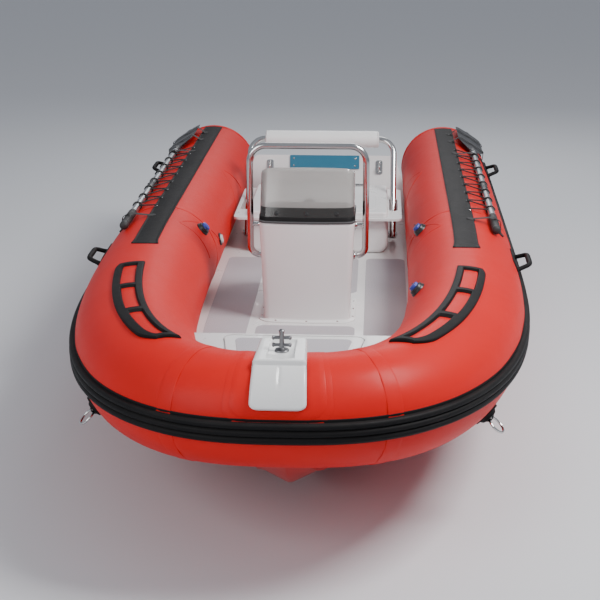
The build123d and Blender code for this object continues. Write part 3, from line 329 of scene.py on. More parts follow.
def add_group(material, group, **values):
    """Node group placed in a material, with its inputs set by name (spaces written as _)."""
    node = material.node_tree.nodes.new("ShaderNodeGroup")
    node.node_tree = group
    for title, value in values.items():
        socket = node.inputs[title.replace("_", " ")]
        socket.default_value = (*value, 1.0) if isinstance(value, tuple) else value
    return node


def add_bump(material, height, distance, strength=1.0, normal=None):
    """Bump node that feeds the shader's normal, over another bump's normal if one is given."""
    tree = material.node_tree
    node = tree.nodes.new("ShaderNodeBump")
    node.inputs["Distance"].default_value = distance
    node.inputs["Strength"].default_value = strength
    tree.links.new(height, node.inputs["Height"])
    if normal is not None:
        tree.links.new(normal, node.inputs["Normal"])
    tree.links.new(node.outputs["Normal"], tree.nodes["Principled BSDF"].inputs["Normal"])
    return node.outputs["Normal"]


def patterned(name, base, deep, roughness, grain, metallic=0.0, cloud=0.5, cloud_scale=3.0,
              dust=0.25, rough_spread=0.12):
    """Finish made of the two shared groups: colour from surface_tone, and bump and an uneven
    roughness from fine_grain. grain is (scale, coarse scale, coarse share, bump depth)."""
    material = finish_named(name, base, roughness, metallic)
    tree = material.node_tree
    shader = tree.nodes["Principled BSDF"]
    tone = add_group(material, tone_group, Base=base, Deep=deep, Cloud=cloud,
                     Cloud_Scale=cloud_scale, Dust_Amount=dust)
    tree.links.new(tone.outputs["Color"], shader.inputs["Base Color"])
    fine = add_group(material, grain_group, Scale=grain[0], Coarse_Scale=grain[1], Coarse=grain[2])
    uneven = maths(tree, "MULTIPLY_ADD", fine.outputs["Value"], rough_spread, roughness - rough_spread / 2)
    uneven = maths(tree, "MULTIPLY_ADD", tone.outputs["Mask"], 0.5, uneven, clamp=True)
    tree.links.new(uneven, shader.inputs["Roughness"])
    add_bump(material, fine.outputs["Height"], grain[3])
    return material


# The coated cloth keeps a faint print of its weave, laid out by the piece's own UV map.
tube_fabric = patterned("red_coated_fabric", TUBE_RED, TUBE_RED_DEEP, 0.52,
                        (900.0, 26.0, 0.5, 0.0004), cloud=0.35, dust=0.03)
tube_fabric.node_tree.nodes["Principled BSDF"].inputs["Specular IOR Level"].default_value = 0.12
fabric_tree = tube_fabric.node_tree
cloth_map = fabric_tree.nodes.new("ShaderNodeUVMap")
cloth_map.uv_map = "cloth"
weave_height = None
for direction in ("X", "Y"):
    threads = fabric_tree.nodes.new("ShaderNodeTexWave")
    threads.wave_type = "BANDS"
    threads.bands_direction = direction
    threads.inputs["Scale"].default_value = 260.0
    fabric_tree.links.new(cloth_map.outputs["UV"], threads.inputs["Vector"])
    height = threads.outputs["Fac"]
    weave_height = height if weave_height is None else maths(
        fabric_tree, "MAXIMUM", weave_height, height
    )
fabric_shader = fabric_tree.nodes["Principled BSDF"]
add_bump(tube_fabric, weave_height, 0.00012, 0.5, fabric_shader.inputs["Normal"].links[0].from_socket)
fabric_shader.inputs["Coat Weight"].default_value = 0.12
fabric_shader.inputs["Coat Roughness"].default_value = 0.32

AROUND = 144
around = np.linspace(0.0, 360.0, AROUND, endpoint=False)


def chamber_rings(start, end, pitch=0.011):
    """Rings of the skin from one seam to the next. The skin is pinched by 1.2 mm at each seam,
    falling off over 15 mm, with shallow puckers beside it that fade over 60 mm."""
    s = np.linspace(start, end, max(12, round((end - start) / pitch)))[:, None]
    to_seam = np.minimum(s - start, end - s)
    pinch = -0.0012 * np.exp(-((to_seam / 0.015) ** 2))
    pucker = 0.0007 * np.sin(np.radians(around[None] * 13 + 40)) * np.exp(-((to_seam / 0.06) ** 2))
    slack = 0.0008 * np.sin(s * 21.0) * np.cos(np.radians(around[None] * 2 + 30))
    return skin(s, around[None], pinch + pucker + slack * (to_seam > 0.02) - 0.0004)


SEAM = float(np.interp(SEAM_X, bow_x, bow_run))
chambers = {
    "bow_chamber_skin": (-SEAM, SEAM, "bow_tube"),
    "port_shoulder_skin": (SEAM, SHOULDER, "port_shoulder_tube"),
    "starboard_shoulder_skin": (-SHOULDER, -SEAM, "starboard_shoulder_tube"),
    "port_side_skin": (SHOULDER, STERN, "port_side_tube"),
    "starboard_side_skin": (-STERN, -SHOULDER, "starboard_side_tube"),
}
for name, (start, end, node) in chambers.items():
    mesh = loft_mesh(name, chamber_rings(start, end))
    new_piece(name, mesh, "boat", tube_fabric, [node])


def skin_band(name, s, angle, profile, closed=False):
    """Closed band along a path on the collar. The path is lengths s and angles; the profile is
    points (across, height) in metres. Each ring is the profile laid square to the path on the
    unrolled skin, then wrapped: s + across * a, angle + across * b / radius, height as reach."""
    s, angle = np.asarray(s, float), np.asarray(angle, float)
    radius = tube_radius(s)
    if closed:
        turn_s = np.roll(s, -1) - np.roll(s, 1)
        turn_a = np.radians((np.roll(angle, -1) - np.roll(angle, 1) + 180) % 360 - 180) * radius
    else:
        turn_s, turn_a = np.gradient(s), np.radians(np.gradient(angle)) * radius
    size = np.hypot(turn_s, turn_a)
    side_s, side_a = -turn_a / size, turn_s / size
    across, height = np.asarray(profile, float).T
    ring_s = s[:, None] + across[None] * side_s[:, None]
    ring_a = angle[:, None] + np.degrees(across[None] * side_a[:, None] / radius[:, None])
    return loft_mesh(name, skin(ring_s, ring_a, np.broadcast_to(height, ring_s.shape)), closed)


def tape_profile(width, thick, sink=0.0012):
    """Low flat band with rounded shoulders, its underside sunk into what it is glued on."""
    half, soft = width / 2, min(width / 6, 0.003)
    return [(-half, -sink), (-half, thick * 0.3), (-half + soft * 0.4, thick * 0.8), (-half + soft, thick),
            (half - soft, thick), (half - soft * 0.4, thick * 0.8), (half, thick * 0.3), (half, -sink)]


seam_tape = tape_profile(0.034, 0.0009)
for name, place in (("bow_seam_port", SEAM), ("bow_seam_starboard", -SEAM),
                    ("shoulder_seam_port", SHOULDER), ("shoulder_seam_starboard", -SHOULDER)):
    mesh = skin_band(name, np.full(AROUND, place), around, seam_tape, closed=True)
    new_piece(name, mesh, "boat", tube_fabric)

# The tapered stern caps: a turned profile of distance aft of the tube's end and radius, with a
# raised lip.
cone_profile = np.array([
    (-0.012, 0.2158), (0.0, 0.2164), (0.010, 0.2166), (0.016, 0.2150), (0.045, 0.1960),
    (0.075, 0.1700), (0.094, 0.1480), (0.104, 0.1290), (0.109, 0.1080), (0.110, 0.0800),
    (0.110, 0.0400), (0.110, 0.0100),
])
for side, name, node in (
    (1, "port_stern_cap", "port_tube_cone"), (-1, "starboard_stern_cap", "starboard_tube_cone")
):
    turn = np.radians(around)[None]
    aft, reach = cone_profile[:, :1], cone_profile[:, 1:]
    rings = np.stack([side * SPREAD + reach * np.cos(turn), STERN_Y + aft + 0 * turn,
                      AXIS_Z + reach * np.sin(turn)], -1)
    new_piece(name, loft_mesh(name, rings), "boat", tube_fabric, [node])

# Pointed outlines where the shoulder panels overlap the side panels, inboard on both tubes.
outline_tape = tape_profile(0.011, 0.0009)


def eased(points, count=40):
    """Smooth run through a few chosen (length, angle) points: a Catmull-Rom curve."""
    chosen = np.asarray(points, float)
    padded = np.vstack([2 * chosen[0] - chosen[1], chosen, 2 * chosen[-1] - chosen[-2]])
    t = np.linspace(0, len(chosen) - 1 - 1e-9, count)
    k = t.astype(int)
    f = (t - k)[:, None]
    a, b, c, d = (padded[k + n] for n in range(4))
    return 0.5 * (2 * b + (c - a) * f + (2 * a - 5 * b + 4 * c - d) * f**2 + (3 * b - a - 3 * c + d) * f**3)


SIDES = ((1, "port"), (-1, "starboard"))
for side, word in SIDES:
    for number, (apex, upper, lower) in enumerate((
        ((-0.11, 115), (0.21, 175), (-0.13, 166)), ((0.96, 130), (1.11, 168), (0.83, 172)),
    ), 1):
        route = [(run_at_y(y), angle) for y, angle in (
            upper, (0.6 * apex[0] + 0.4 * upper[0], 0.72 * apex[1] + 0.28 * upper[1]), apex,
            (0.5 * apex[0] + 0.5 * lower[0], 0.6 * apex[1] + 0.4 * lower[1]), lower,
        )]
        route = eased(route, 60)
        name = f"{word}_panel_outline_{number}"
        mesh = skin_band(name, side * route[:, 0], route[:, 1], outline_tape)
        new_piece(name, mesh, "boat", tube_fabric)

# ---------------------------------------------------------------- rubbing strake
# One length of extruded black rubber with three ribs, bonded round the widest line of the
# collar on a wider base tape.
RIB_COUNT, RIB_PITCH, RIB_HALF = 3, 0.020, 0.0094
STRAKE_WEB, RIB_HEIGHT, STRAKE_HALF = 0.008, 0.0095, 0.030

black_rubber = patterned("black_rubber", (0.007, 0.007, 0.008), (0.013, 0.012, 0.012), 0.52,
                         (700.0, 55.0, 0.6, 0.0003), cloud=0.7, cloud_scale=9.0, dust=0.05)
black_rubber.node_tree.nodes["Principled BSDF"].inputs["Specular IOR Level"].default_value = 0.08

rib_turn = np.linspace(0, math.pi, 11)[1:-1]
strake_profile = [(-STRAKE_HALF, -0.002), (-STRAKE_HALF, 0.004), (-STRAKE_HALF + 0.0008, STRAKE_WEB)]
for rib in range(RIB_COUNT):
    middle = (rib - (RIB_COUNT - 1) / 2) * RIB_PITCH
    strake_profile += [
        (middle - RIB_HALF * math.cos(t), STRAKE_WEB + RIB_HEIGHT * math.sin(t)) for t in rib_turn
    ]
    if rib < RIB_COUNT - 1:
        strake_profile.append((middle + RIB_PITCH / 2, STRAKE_WEB + 0.0008))
strake_profile += [(STRAKE_HALF - 0.0008, STRAKE_WEB), (STRAKE_HALF, 0.004), (STRAKE_HALF, -0.002)]
strake_run = np.linspace(-STERN, STERN, 460)
strake_sway = 0.18 * np.sin(strake_run * 2.9) + 0.1 * np.sin(strake_run * 7.3)
mesh = skin_band("rubbing_strake", strake_run, strake_sway, strake_profile)
new_piece("rubbing_strake", mesh, "boat", black_rubber,
          ["bow_strake", "port_strake", "starboard_strake"])
mesh = skin_band("strake_base_tape", strake_run, strake_sway, tape_profile(0.078, 0.0015))
new_piece("strake_base_tape", mesh, "boat", black_rubber)

# ---------------------------------------------------------------- hull
# Deep-vee glass fibre moulding in red gelcoat, with a rounded keel, two spray rails and a
# turned-down chine on each side. The collar is glued along its gunwale.
KEEL_DEPTH, CHINE_X, CHINE_Z = 0.190, 0.500, 0.020
STEM_Y, STEM_TOP, FOREFOOT_Y = -1.672, 0.175, -0.300
HULL_AFT_Y = 1.318
TRANSOM_RAKE = math.radians(12)

hull_gelcoat = patterned("red_gelcoat", (0.56, 0.008, 0.006), (0.38, 0.006, 0.005), 0.30,
                         (300.0, 12.0, 0.5, 0.0002), cloud=0.4, dust=0.2)
hull_gelcoat.node_tree.nodes["Principled BSDF"].inputs["Coat Weight"].default_value = 0.15

hull_y = np.concatenate(
    [np.linspace(STEM_Y + 0.012, FOREFOOT_Y, 110), np.linspace(FOREFOOT_Y, HULL_AFT_Y, 30)[1:]]
)
ahead = np.clip((FOREFOOT_Y - hull_y) / (FOREFOOT_Y - STEM_Y), 0, 1)[:, None]
keel_z = -KEEL_DEPTH + (STEM_TOP + KEEL_DEPTH) * ahead**5
chine_x = CHINE_X * (1 - ahead**3) ** 0.75
chine_z = CHINE_Z + (STEM_TOP - CHINE_Z) * ahead**3.6
gunwale_x = np.interp(hull_y, bow_y, bow_x)[:, None]
gunwale_x = np.where(hull_y[:, None] >= SHOULDER_Y, SPREAD, gunwale_x) - 0.02
gunwale_z = 0.088 + 0.104 * np.clip((ahead - 0.6) / 0.15, 0, 1)
# Share of the way from keel to chine, and how far the bottom stands below the straight line
# there: the rounded keel, then two rails that grow outwards and break off sharply.
panel = np.array(
    [
        (0.0, -0.004), (0.012, -0.001), (0.03, 0.0), (0.15, 0.0), (0.27, 0.0), (0.335, 0.008),
        (0.34, 0.0085), (0.347, 0.001), (0.36, 0.0), (0.50, 0.0), (0.58, 0.0), (0.645, 0.008),
        (0.65, 0.0085), (0.657, 0.001), (0.67, 0.0), (0.80, 0.0), (0.90, 0.001), (0.93, 0.012),
        (0.99, 0.013)
    ]
)
share, drop = panel[:, 0][None], panel[:, 1][None]
drop = drop * np.clip((0.97 - ahead) / 0.2, 0, 1)
bottom_x, bottom_z = chine_x * share, keel_z + (chine_z - keel_z) * share - drop
side_x = np.concatenate([chine_x, chine_x + 0.003, 0.5 * (chine_x + gunwale_x), gunwale_x], 1)
side_z = np.concatenate([chine_z - 0.011, chine_z, 0.5 * (chine_z + gunwale_z), gunwale_z], 1)
half_x, half_z = np.concatenate([bottom_x, side_x], 1), np.concatenate([bottom_z, side_z], 1)
ring_x = np.concatenate([half_x, -half_x[:, :0:-1]], 1)
ring_z = np.concatenate([half_z, half_z[:, :0:-1]], 1)
rake_shift = np.where(hull_y[:, None] >= HULL_AFT_Y - 1e-6, -(ring_z - 0.12) * math.tan(TRANSOM_RAKE), 0.0)
rings = np.stack([ring_x, hull_y[:, None] - rake_shift + 0 * ring_x, ring_z], -1)
mesh = loft_mesh("hull_moulding", rings)
new_piece("hull_moulding", mesh, "boat", hull_gelcoat, ["hull"], crease=24)

# ---------------------------------------------------------------- deck, transom and locker
# White gelcoat mouldings bonded into the hull. They keep the frame's own shapes; rubber treads
# are glued to the deck where feet go, their grey-mauve colour painted shade: the collar's shadow on the
# deck, tinted red by it.
white_gelcoat = patterned("white_gelcoat", (0.80, 0.80, 0.79), (0.66, 0.66, 0.67), 0.24,
                          (350.0, 9.0, 0.4, 0.00015), cloud=0.35, cloud_scale=2.2, dust=0.5)
white_gelcoat.node_tree.nodes["Principled BSDF"].inputs["Coat Weight"].default_value = 0.35


def finish_node(node, finish):
    """Gives a frame node's material slots one finish, and leaves its mesh alone."""
    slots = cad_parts[node].material_slots
    for slot in slots:
        slot.link = "OBJECT"
        slot.material = finish


for node in ("deck", "transom", "bow_locker", "bow_locker_lid"):
    finish_node(node, white_gelcoat)

DECK_Z = 0.120
# The treads' grey-mauve colour is painted shade, standing in for the collar's shadow on the white deck with
# red light thrown into it.
shade_grey_tread = patterned("painted_shade_grey_tread", (0.47, 0.45, 0.49), (0.36, 0.35, 0.39), 0.62,
                         (260.0, 20.0, 0.5, 0.0004), cloud=0.6, cloud_scale=6.0, dust=0.7)
tread_tree = shade_grey_tread.node_tree
tread_place = tread_tree.nodes.new("ShaderNodeTexCoord")
tread_height = None
for turn in (45, -45):
    turned = tread_tree.nodes.new("ShaderNodeMapping")
    turned.inputs["Rotation"].default_value = (0, 0, math.radians(turn))
    tread_tree.links.new(tread_place.outputs["Object"], turned.inputs["Vector"])
    lines = tread_tree.nodes.new("ShaderNodeTexWave")
    lines.wave_type = "BANDS"
    lines.inputs["Scale"].default_value = 34.0
    tread_tree.links.new(turned.outputs["Vector"], lines.inputs["Vector"])
    raised = maths(tread_tree, "POWER", lines.outputs["Fac"], 5.0)
    tread_height = raised if tread_height is None else maths(tread_tree, "MAXIMUM", tread_height, raised)
tread_shader = tread_tree.nodes["Principled BSDF"]
add_bump(shade_grey_tread, tread_height, 0.0008, 0.8, tread_shader.inputs["Normal"].links[0].from_socket)


def flat_pad(name, y, low_x, high_x, z, thick, corner):
    """Thin pad on a flat: rows along y, each from low_x to high_x, with corners rounded by
    drawing the rows in as a circle of the corner radius near both ends, and a soft top edge."""
    to_end = np.clip(np.minimum(y - y[0], y[-1] - y), 0, corner)
    draw = corner - np.sqrt(np.clip(corner**2 - (corner - to_end) ** 2, 0, None))
    low, high = low_x + draw, high_x - draw
    edge = min(0.0015, thick)
    share = np.linspace(0, 1, 9)[None]
    lower_x = low[:, None] + (high - low)[:, None] * share
    upper_x = low[:, None] + edge + (high - low - 2 * edge)[:, None] * share
    x = np.concatenate([upper_x, lower_x[:, ::-1]], 1)
    lift = np.concatenate([np.full_like(upper_x, thick), np.full_like(lower_x, -0.002)], 1)
    return loft_mesh(name, np.stack([x, y[:, None] + 0 * x, z + lift], -1))


def clustered(low, high, count, ease=0.03):
    """Values from low to high, packed closely within ease of both ends."""
    ends = ease * (1 - np.cos(np.linspace(0, math.pi / 2, 9)))
    return np.unique(np.concatenate([low + ends, np.linspace(low + ease, high - ease, count), high - ends]))


def deck_half(y):
    """Half the clear deck between the tubes at y: tube axis less the chord at deck height."""
    s = run_at_y(y)
    radius, axis = tube_radius(s), tube_axis(s)
    return axis[..., 0] - np.sqrt(radius**2 - (axis[..., 2] - DECK_Z) ** 2)


TREAD_MARGIN = 0.045
treads = {
    "port_side_tread": (-1.03, 0.50, lambda y: 0.222 + 0 * y, lambda y: deck_half(y) - TREAD_MARGIN),
    "starboard_side_tread": (-1.03, 0.50, lambda y: TREAD_MARGIN - deck_half(y), lambda y: -0.222 + 0 * y),
    "bow_tread": (-1.03, -0.42, lambda y: -0.19 + 0 * y, lambda y: 0.19 + 0 * y),
    "helm_tread": (0.0, 0.50, lambda y: -0.19 + 0 * y, lambda y: 0.19 + 0 * y),
    "stern_tread": (1.16, 1.28, lambda y: -0.34 + 0 * y, lambda y: 0.34 + 0 * y),
}
for name, (front, back, low_x, high_x) in treads.items():
    y = clustered(front, back, 24)
    mesh = flat_pad(name, y, low_x(y), high_x(y), DECK_Z, 0.0016, 0.03)
    new_piece(name, mesh, "boat", shade_grey_tread)

# ---------------------------------------------------------------- motor pads
# Moulded teal plastic pads that take the motor's clamp, screwed to the transom board.
teal_plastic = patterned("teal_pad", (0.012, 0.165, 0.275), (0.008, 0.11, 0.19), 0.45,
                         (420.0, 60.0, 0.7, 0.0005), cloud=0.5, cloud_scale=8.0, dust=0.3)
for node in ("motor_pad_inner", "motor_pad_outer"):
    finish_node(node, teal_plastic)
TRANSOM_Y, TRANSOM_TOP, TRANSOM_THICK = 1.380, 0.402, 0.045
board_out = np.array([0.0, math.cos(TRANSOM_RAKE), -math.sin(TRANSOM_RAKE)])
board_down = np.array([0.0, -math.sin(TRANSOM_RAKE), -math.cos(TRANSOM_RAKE)])
board_top = np.array([0.0, TRANSOM_Y, TRANSOM_TOP])
EAST = np.array([1.0, 0.0, 0.0])

stainless = patterned("polished_stainless", (0.62, 0.62, 0.61), (0.50, 0.50, 0.50), 0.16,
                      (500.0, 30.0, 0.5, 0.00005), metallic=1.0, cloud=0.4, dust=0.05)


def turned_mesh(name, profile, centre, axis, around=32, lobes=0, lobe_depth=0.0):
    """Solid of revolution: profile points (along the axis, radius), turned round the axis. With
    lobes, the radius swings by lobe_depth that many times round, as on a knurled knob."""
    axis = np.asarray(axis, float) / np.linalg.norm(axis)
    helper = np.array([0.0, 0.0, 1.0]) if abs(axis[2]) < 0.9 else np.array([1.0, 0.0, 0.0])
    first = np.cross(helper, axis)
    first /= np.linalg.norm(first)
    second = np.cross(axis, first)
    turn = np.linspace(0, 2 * math.pi, around, endpoint=False)[None, :, None]
    along, reach = (np.asarray(profile, float)[:, k][:, None, None] for k in (0, 1))
    reach = reach * (1 + lobe_depth * np.cos(lobes * turn))
    rings = np.asarray(centre) + along * axis + reach * (np.cos(turn) * first + np.sin(turn) * second)
    return loft_mesh(name, rings)


def joined_piece(name, meshes, body, finish, replaces=()):
    """One piece from several meshes: their points one after another, the corner numbers of each
    raised by the count of points before it, and their UV maps kept in order."""
    points, faces, uv, base = [], [], [], 0
    for part in meshes:
        place = np.empty(len(part.vertices) * 3)
        part.vertices.foreach_get("co", place)
        points.append(place.reshape(-1, 3))
        corners, sides = np.empty(len(part.loops), int), np.empty(len(part.polygons), int)
        part.loops.foreach_get("vertex_index", corners)
        part.polygons.foreach_get("loop_total", sides)
        faces += [face.tolist() for face in np.split(corners + base, np.cumsum(sides)[:-1])]
        layer = np.empty(len(part.loops) * 2)
        part.uv_layers["cloth"].data.foreach_get("uv", layer)
        uv.append(layer)
        base += len(part.vertices)
        bpy.data.meshes.remove(part)
    mesh = bpy.data.meshes.new(name)
    mesh.from_pydata(np.concatenate(points).tolist(), [], faces)
    mesh.uv_layers.new(name="cloth").data.foreach_set("uv", np.concatenate(uv))
    return new_piece(name, mesh, body, finish, replaces)


def screw_head(centre, axis, radius=0.0045):
    """Pan head screw: a low dome with a shallow socket in its middle."""
    profile = [(-0.002, radius), (0.0006, radius), (0.0018, radius * 0.86), (0.0024, radius * 0.55),
               (0.0023, radius * 0.42), (0.0010, radius * 0.36), (0.0010, radius * 0.02)]
    return turned_mesh("screw", profile, centre, axis, 20)


heads = []
for x in (-0.155, 0.155):
    for down in (0.016, 0.052):
        heads.append(screw_head(board_top + x * EAST + down * board_down - 0.006 * board_out, -board_out))
    for down in (0.02, 0.21):
        outer = board_top + x * EAST + down * board_down + (TRANSOM_THICK + 0.006) * board_out
        heads.append(screw_head(outer, board_out))
joined_piece("pad_screws", heads, "boat", stainless)
finish_node("transom_eyes", stainless)
heads = []
for x in (-0.275, 0.275):
    for down in (0.034, 0.082):
        heads.append(
            screw_head(
                board_top + x * EAST + down * board_down - 0.005 * board_out, -board_out, 0.004
            )
        )
joined_piece("eye_screws", heads, "boat", stainless)

# ---------------------------------------------------------------- bow doubler, step and bollard
# A second layer of red cloth protects the bow chamber. A white moulded step saddles it, with a
# recess in its top for a stainless cross bollard and a drain groove down its front.
BOW_RADIUS = float(tube_radius(np.array(0.0)))
BOW_TOP_Z = float(tube_axis(np.array(0.0))[2])


def skin_patch(name, centre_s, centre_angle, half_s, half_arc, thick, corner, pitch=0.006, sink=0.0012):
    """Rounded-rectangle patch glued on the collar, made of nested outlines that shrink to its
    middle: each is a rectangle with arcs of the corner radius, wrapped on the skin. A side
    longer than the pitch is divided evenly."""
    turn = np.radians(np.linspace(0, 360, 73)[:-1])
    corner = min(corner, half_s, half_arc)
    out_s = np.sign(np.cos(turn)) * (half_s - corner) + corner * np.cos(turn)
    out_a = np.sign(np.sin(turn)) * (half_arc - corner) + corner * np.sin(turn)
    outline = np.stack([out_s, out_a], -1)
    side = outline - np.roll(outline, 1, 0)
    steps = np.maximum(1, np.rint(np.hypot(*side.T) / pitch)).astype(int)
    step = np.arange(steps.sum()) - np.repeat(np.cumsum(steps) - steps, steps) + 1
    moved = np.repeat(side, steps, 0) * step[:, None] / np.repeat(steps, steps)[:, None]
    out_s, out_a = (np.repeat(np.roll(outline, 1, 0), steps, 0) + moved).T
    edge = min(0.002, half_arc / 8)
    inset = 1 - edge / min(half_s, half_arc)
    rows = [(1.0, -sink), (1.0, thick * 0.4), (inset, thick)]
    rows += [(inset * (1 - k / 8), thick) for k in range(1, 8)] + [(0.01, thick)]
    scale, lift = np.array(rows).T
    radius = float(tube_radius(np.array(centre_s)))
    s = centre_s + scale[:, None] * out_s[None]
    angle = centre_angle + np.degrees(scale[:, None] * out_a[None] / radius)
    return loft_mesh(name, skin(s, angle, lift[:, None] + 0 * s))


DOUBLER_HALF, DOUBLER_WRAP, UNDERLAY_MARGIN = 0.115, 137, 0.014
half_arc = math.radians(DOUBLER_WRAP / 2) * BOW_RADIUS
mesh = skin_patch("bow_doubler_cloth", 0.0, 81.5, DOUBLER_HALF, half_arc, 0.0016, 0.045)
new_piece("bow_doubler_cloth", mesh, "boat", tube_fabric, ["bow_doubler"])
mesh = skin_patch("bow_doubler_underlay", 0.0, 79.5, DOUBLER_HALF + UNDERLAY_MARGIN,
                  half_arc + UNDERLAY_MARGIN, 0.0008, 0.055)
new_piece("bow_doubler_underlay", mesh, "boat", tube_fabric)

STEP_FRONT_HALF, STEP_REAR_HALF = 0.081, 0.067
STEP_REACH = BOW_RADIUS + 0.0141
STEP_TOP = BOW_TOP_Z + STEP_REACH
PLATE_FRONT_Y, STEP_REAR_Y = BOW_Y - 0.070, BOW_Y + 0.124
STEP_RECESS, RECESS_HALF = 0.008, 0.040
LOCKER_TOP = 0.330


def rounded_path(corners, radii, steps=8):
    """Path through corner points with each inner corner replaced by an arc of its radius: the
    arc starts radius * tan(half the turn) before the corner and is drawn about its centre."""
    corners = np.asarray(corners, float)
    path = [corners[0]]
    for before, corner, after, radius in zip(corners, corners[1:], corners[2:], radii):
        into = (corner - before) / np.linalg.norm(corner - before)
        away = (after - corner) / np.linalg.norm(after - corner)
        turn = math.acos(np.clip(into @ away, -1, 1))
        cut = radius * math.tan(turn / 2)
        start = corner - into * cut
        inward = away - into * (into @ away)
        inward /= np.linalg.norm(inward)
        angle = np.linspace(0, turn, steps + 1)[:, None]
        path.extend(start + radius * (np.sin(angle) * into + (1 - np.cos(angle)) * inward))
    path.append(corners[-1])
    return np.array(path)


def resampled(path, pitch):
    """The same path with points at an even pitch, at most."""
    run = np.concatenate([[0], np.cumsum(np.linalg.norm(np.diff(path, axis=0), axis=1))])
    count = max(2, round(run[-1] / pitch))
    marks = np.unique(np.concatenate([np.linspace(0, run[-1], count + 1), run]))
    return np.stack([np.interp(marks, run, path[:, k]) for k in range(path.shape[1])], -1)


arc = np.radians(np.linspace(22, 108, 30))
front_arc = np.stack([BOW_Y - STEP_REACH * np.cos(arc), BOW_TOP_Z + STEP_REACH * np.sin(arc)], -1)
front_arc = front_arc[front_arc[:, 0] < PLATE_FRONT_Y + 0.001]
step_corners = [
    (PLATE_FRONT_Y + 0.002, STEP_TOP), (STEP_REAR_Y, STEP_TOP), (STEP_REAR_Y + 0.046, LOCKER_TOP)
]
step_side = rounded_path([front_arc[-1], *step_corners], [0.006, 0.014])
step_side = resampled(np.vstack([front_arc[:-1], step_side]), 0.004)
step_run = np.concatenate([[0], np.cumsum(np.linalg.norm(np.diff(step_side, axis=0), axis=1))])
slope = np.gradient(step_side, axis=0)
slope /= np.linalg.norm(slope, axis=1, keepdims=True)
step_out = np.stack([-slope[:, 1], slope[:, 0]], -1)
# Across the step: share of the half width, with lines packed where its edges and recess turn.
x_share = np.array(
    [
        -1.0, -0.998, -0.99, -0.975, -0.95, -0.91, -0.86, -0.75, -0.64, -0.605, -0.58, -0.545,
        -0.50, -0.35, -0.2, -0.13, -0.10, -0.075, -0.05, 0.0
    ]
)
x_share = np.concatenate([x_share, -x_share[-2::-1]])
half_width = STEP_FRONT_HALF + (STEP_REAR_HALF - STEP_FRONT_HALF) * (
    (step_side[:, 0] - step_side[0, 0]) / (step_side[-1, 0] - step_side[0, 0])
)
foot_round = 0.022 - np.sqrt(np.clip(0.022**2 - np.clip(0.022 - step_run, 0, 0.022) ** 2, 0, None))
half_width = half_width - foot_round
x = x_share[:, None] * half_width[None]
edge_gap = half_width[None] - np.abs(x)
EDGE_ROUND = 0.010
fall = EDGE_ROUND - np.sqrt(np.clip(EDGE_ROUND**2 - np.clip(EDGE_ROUND - edge_gap, 0, None) ** 2, 0, None))
foot_gap = np.clip(0.008 - step_run, 0, None)[None]
fall = fall + (0.008 - np.sqrt(0.008**2 - foot_gap**2)) * 0.8


def ramp(value, start, end):
    """Smooth step from 0 at start to 1 at end."""
    t = np.clip((value - start) / (end - start), 0, 1)
    return t * t * (3 - 2 * t)


along_y = step_side[:, 0][None]
on_top = (
    ramp(along_y, PLATE_FRONT_Y + 0.018, PLATE_FRONT_Y + 0.026)
    * (1 - ramp(along_y, STEP_REAR_Y - 0.026, STEP_REAR_Y - 0.018))
)
recess = STEP_RECESS * on_top * (1 - ramp(np.abs(x), RECESS_HALF - 0.005, RECESS_HALF))
groove = (
    0.0035 * np.exp(-((x / 0.0048) ** 2)) * ramp(step_run, 0.055, 0.085)[None]
    * (1 - ramp(along_y, PLATE_FRONT_Y - 0.012, PLATE_FRONT_Y))
)
outer = step_side[None] - (fall + recess + groove)[..., None] * step_out[None]
# The underside follows the collar, then drops straight to the locker behind it.
inner_reach = BOW_RADIUS + 0.0023
from_axis = step_side - np.array([BOW_Y, BOW_TOP_Z])
inner = (
    np.array([BOW_Y, BOW_TOP_Z])
    + inner_reach * from_axis / np.linalg.norm(from_axis, axis=1, keepdims=True)
)
inner[:, 1] = np.where(inner[:, 0] > BOW_Y, np.maximum(inner[:, 1], LOCKER_TOP), inner[:, 1])
outer_points = np.concatenate([x[..., None], outer], -1)
inner_points = np.concatenate([x[..., None], np.broadcast_to(inner[None], outer.shape)], -1)
rings = np.concatenate([outer_points, inner_points[:, ::-1]], 1)
new_piece("bow_step_moulding", loft_mesh("bow_step_moulding", rings), "boat",
          white_gelcoat, ["bow_step"], crease=40)

cleat_y = (PLATE_FRONT_Y + 0.020 + STEP_REAR_Y - 0.018) / 2
cleat_z = STEP_TOP - STEP_RECESS
UP = np.array([0.0, 0.0, 1.0])
cleat_foot = np.array([0.0, cleat_y, cleat_z])
post = [(-0.001, 0.021), (0.003, 0.021), (0.005, 0.0195), (0.0065, 0.012), (0.010, 0.0078), (0.018, 0.007),
        (0.055, 0.007), (0.058, 0.0085), (0.061, 0.0085), (0.0645, 0.006), (0.066, 0.002), (0.0662, 0.0002)]
bar_end = [
    (0.0, 0.0050), (0.020, 0.0048), (0.022, 0.0062), (0.0245, 0.0068), (0.027, 0.0058),
    (0.0286, 0.003), (0.0289, 0.0003)
]
bar = [(-a, r) for a, r in bar_end[::-1]] + bar_end[1:]
cleat_parts = [turned_mesh("post", post, cleat_foot, UP)]
for height in (0.018, 0.040):
    cleat_parts.append(turned_mesh("bar", bar, cleat_foot + height * UP, EAST))
for x_side in (-1, 1):
    cleat_parts.append(screw_head(cleat_foot + x_side * 0.0145 * EAST + 0.0045 * UP, UP, 0.003))
cast_steel = patterned("satin_cast_steel", (0.25, 0.25, 0.26), (0.14, 0.14, 0.15), 0.38,
                       (500.0, 60.0, 0.7, 0.0002), metallic=1.0, cloud=0.6, cloud_scale=20.0, dust=0.2)
joined_piece("cross_bollard", cleat_parts, "boat", cast_steel, ["bow_cleat"])

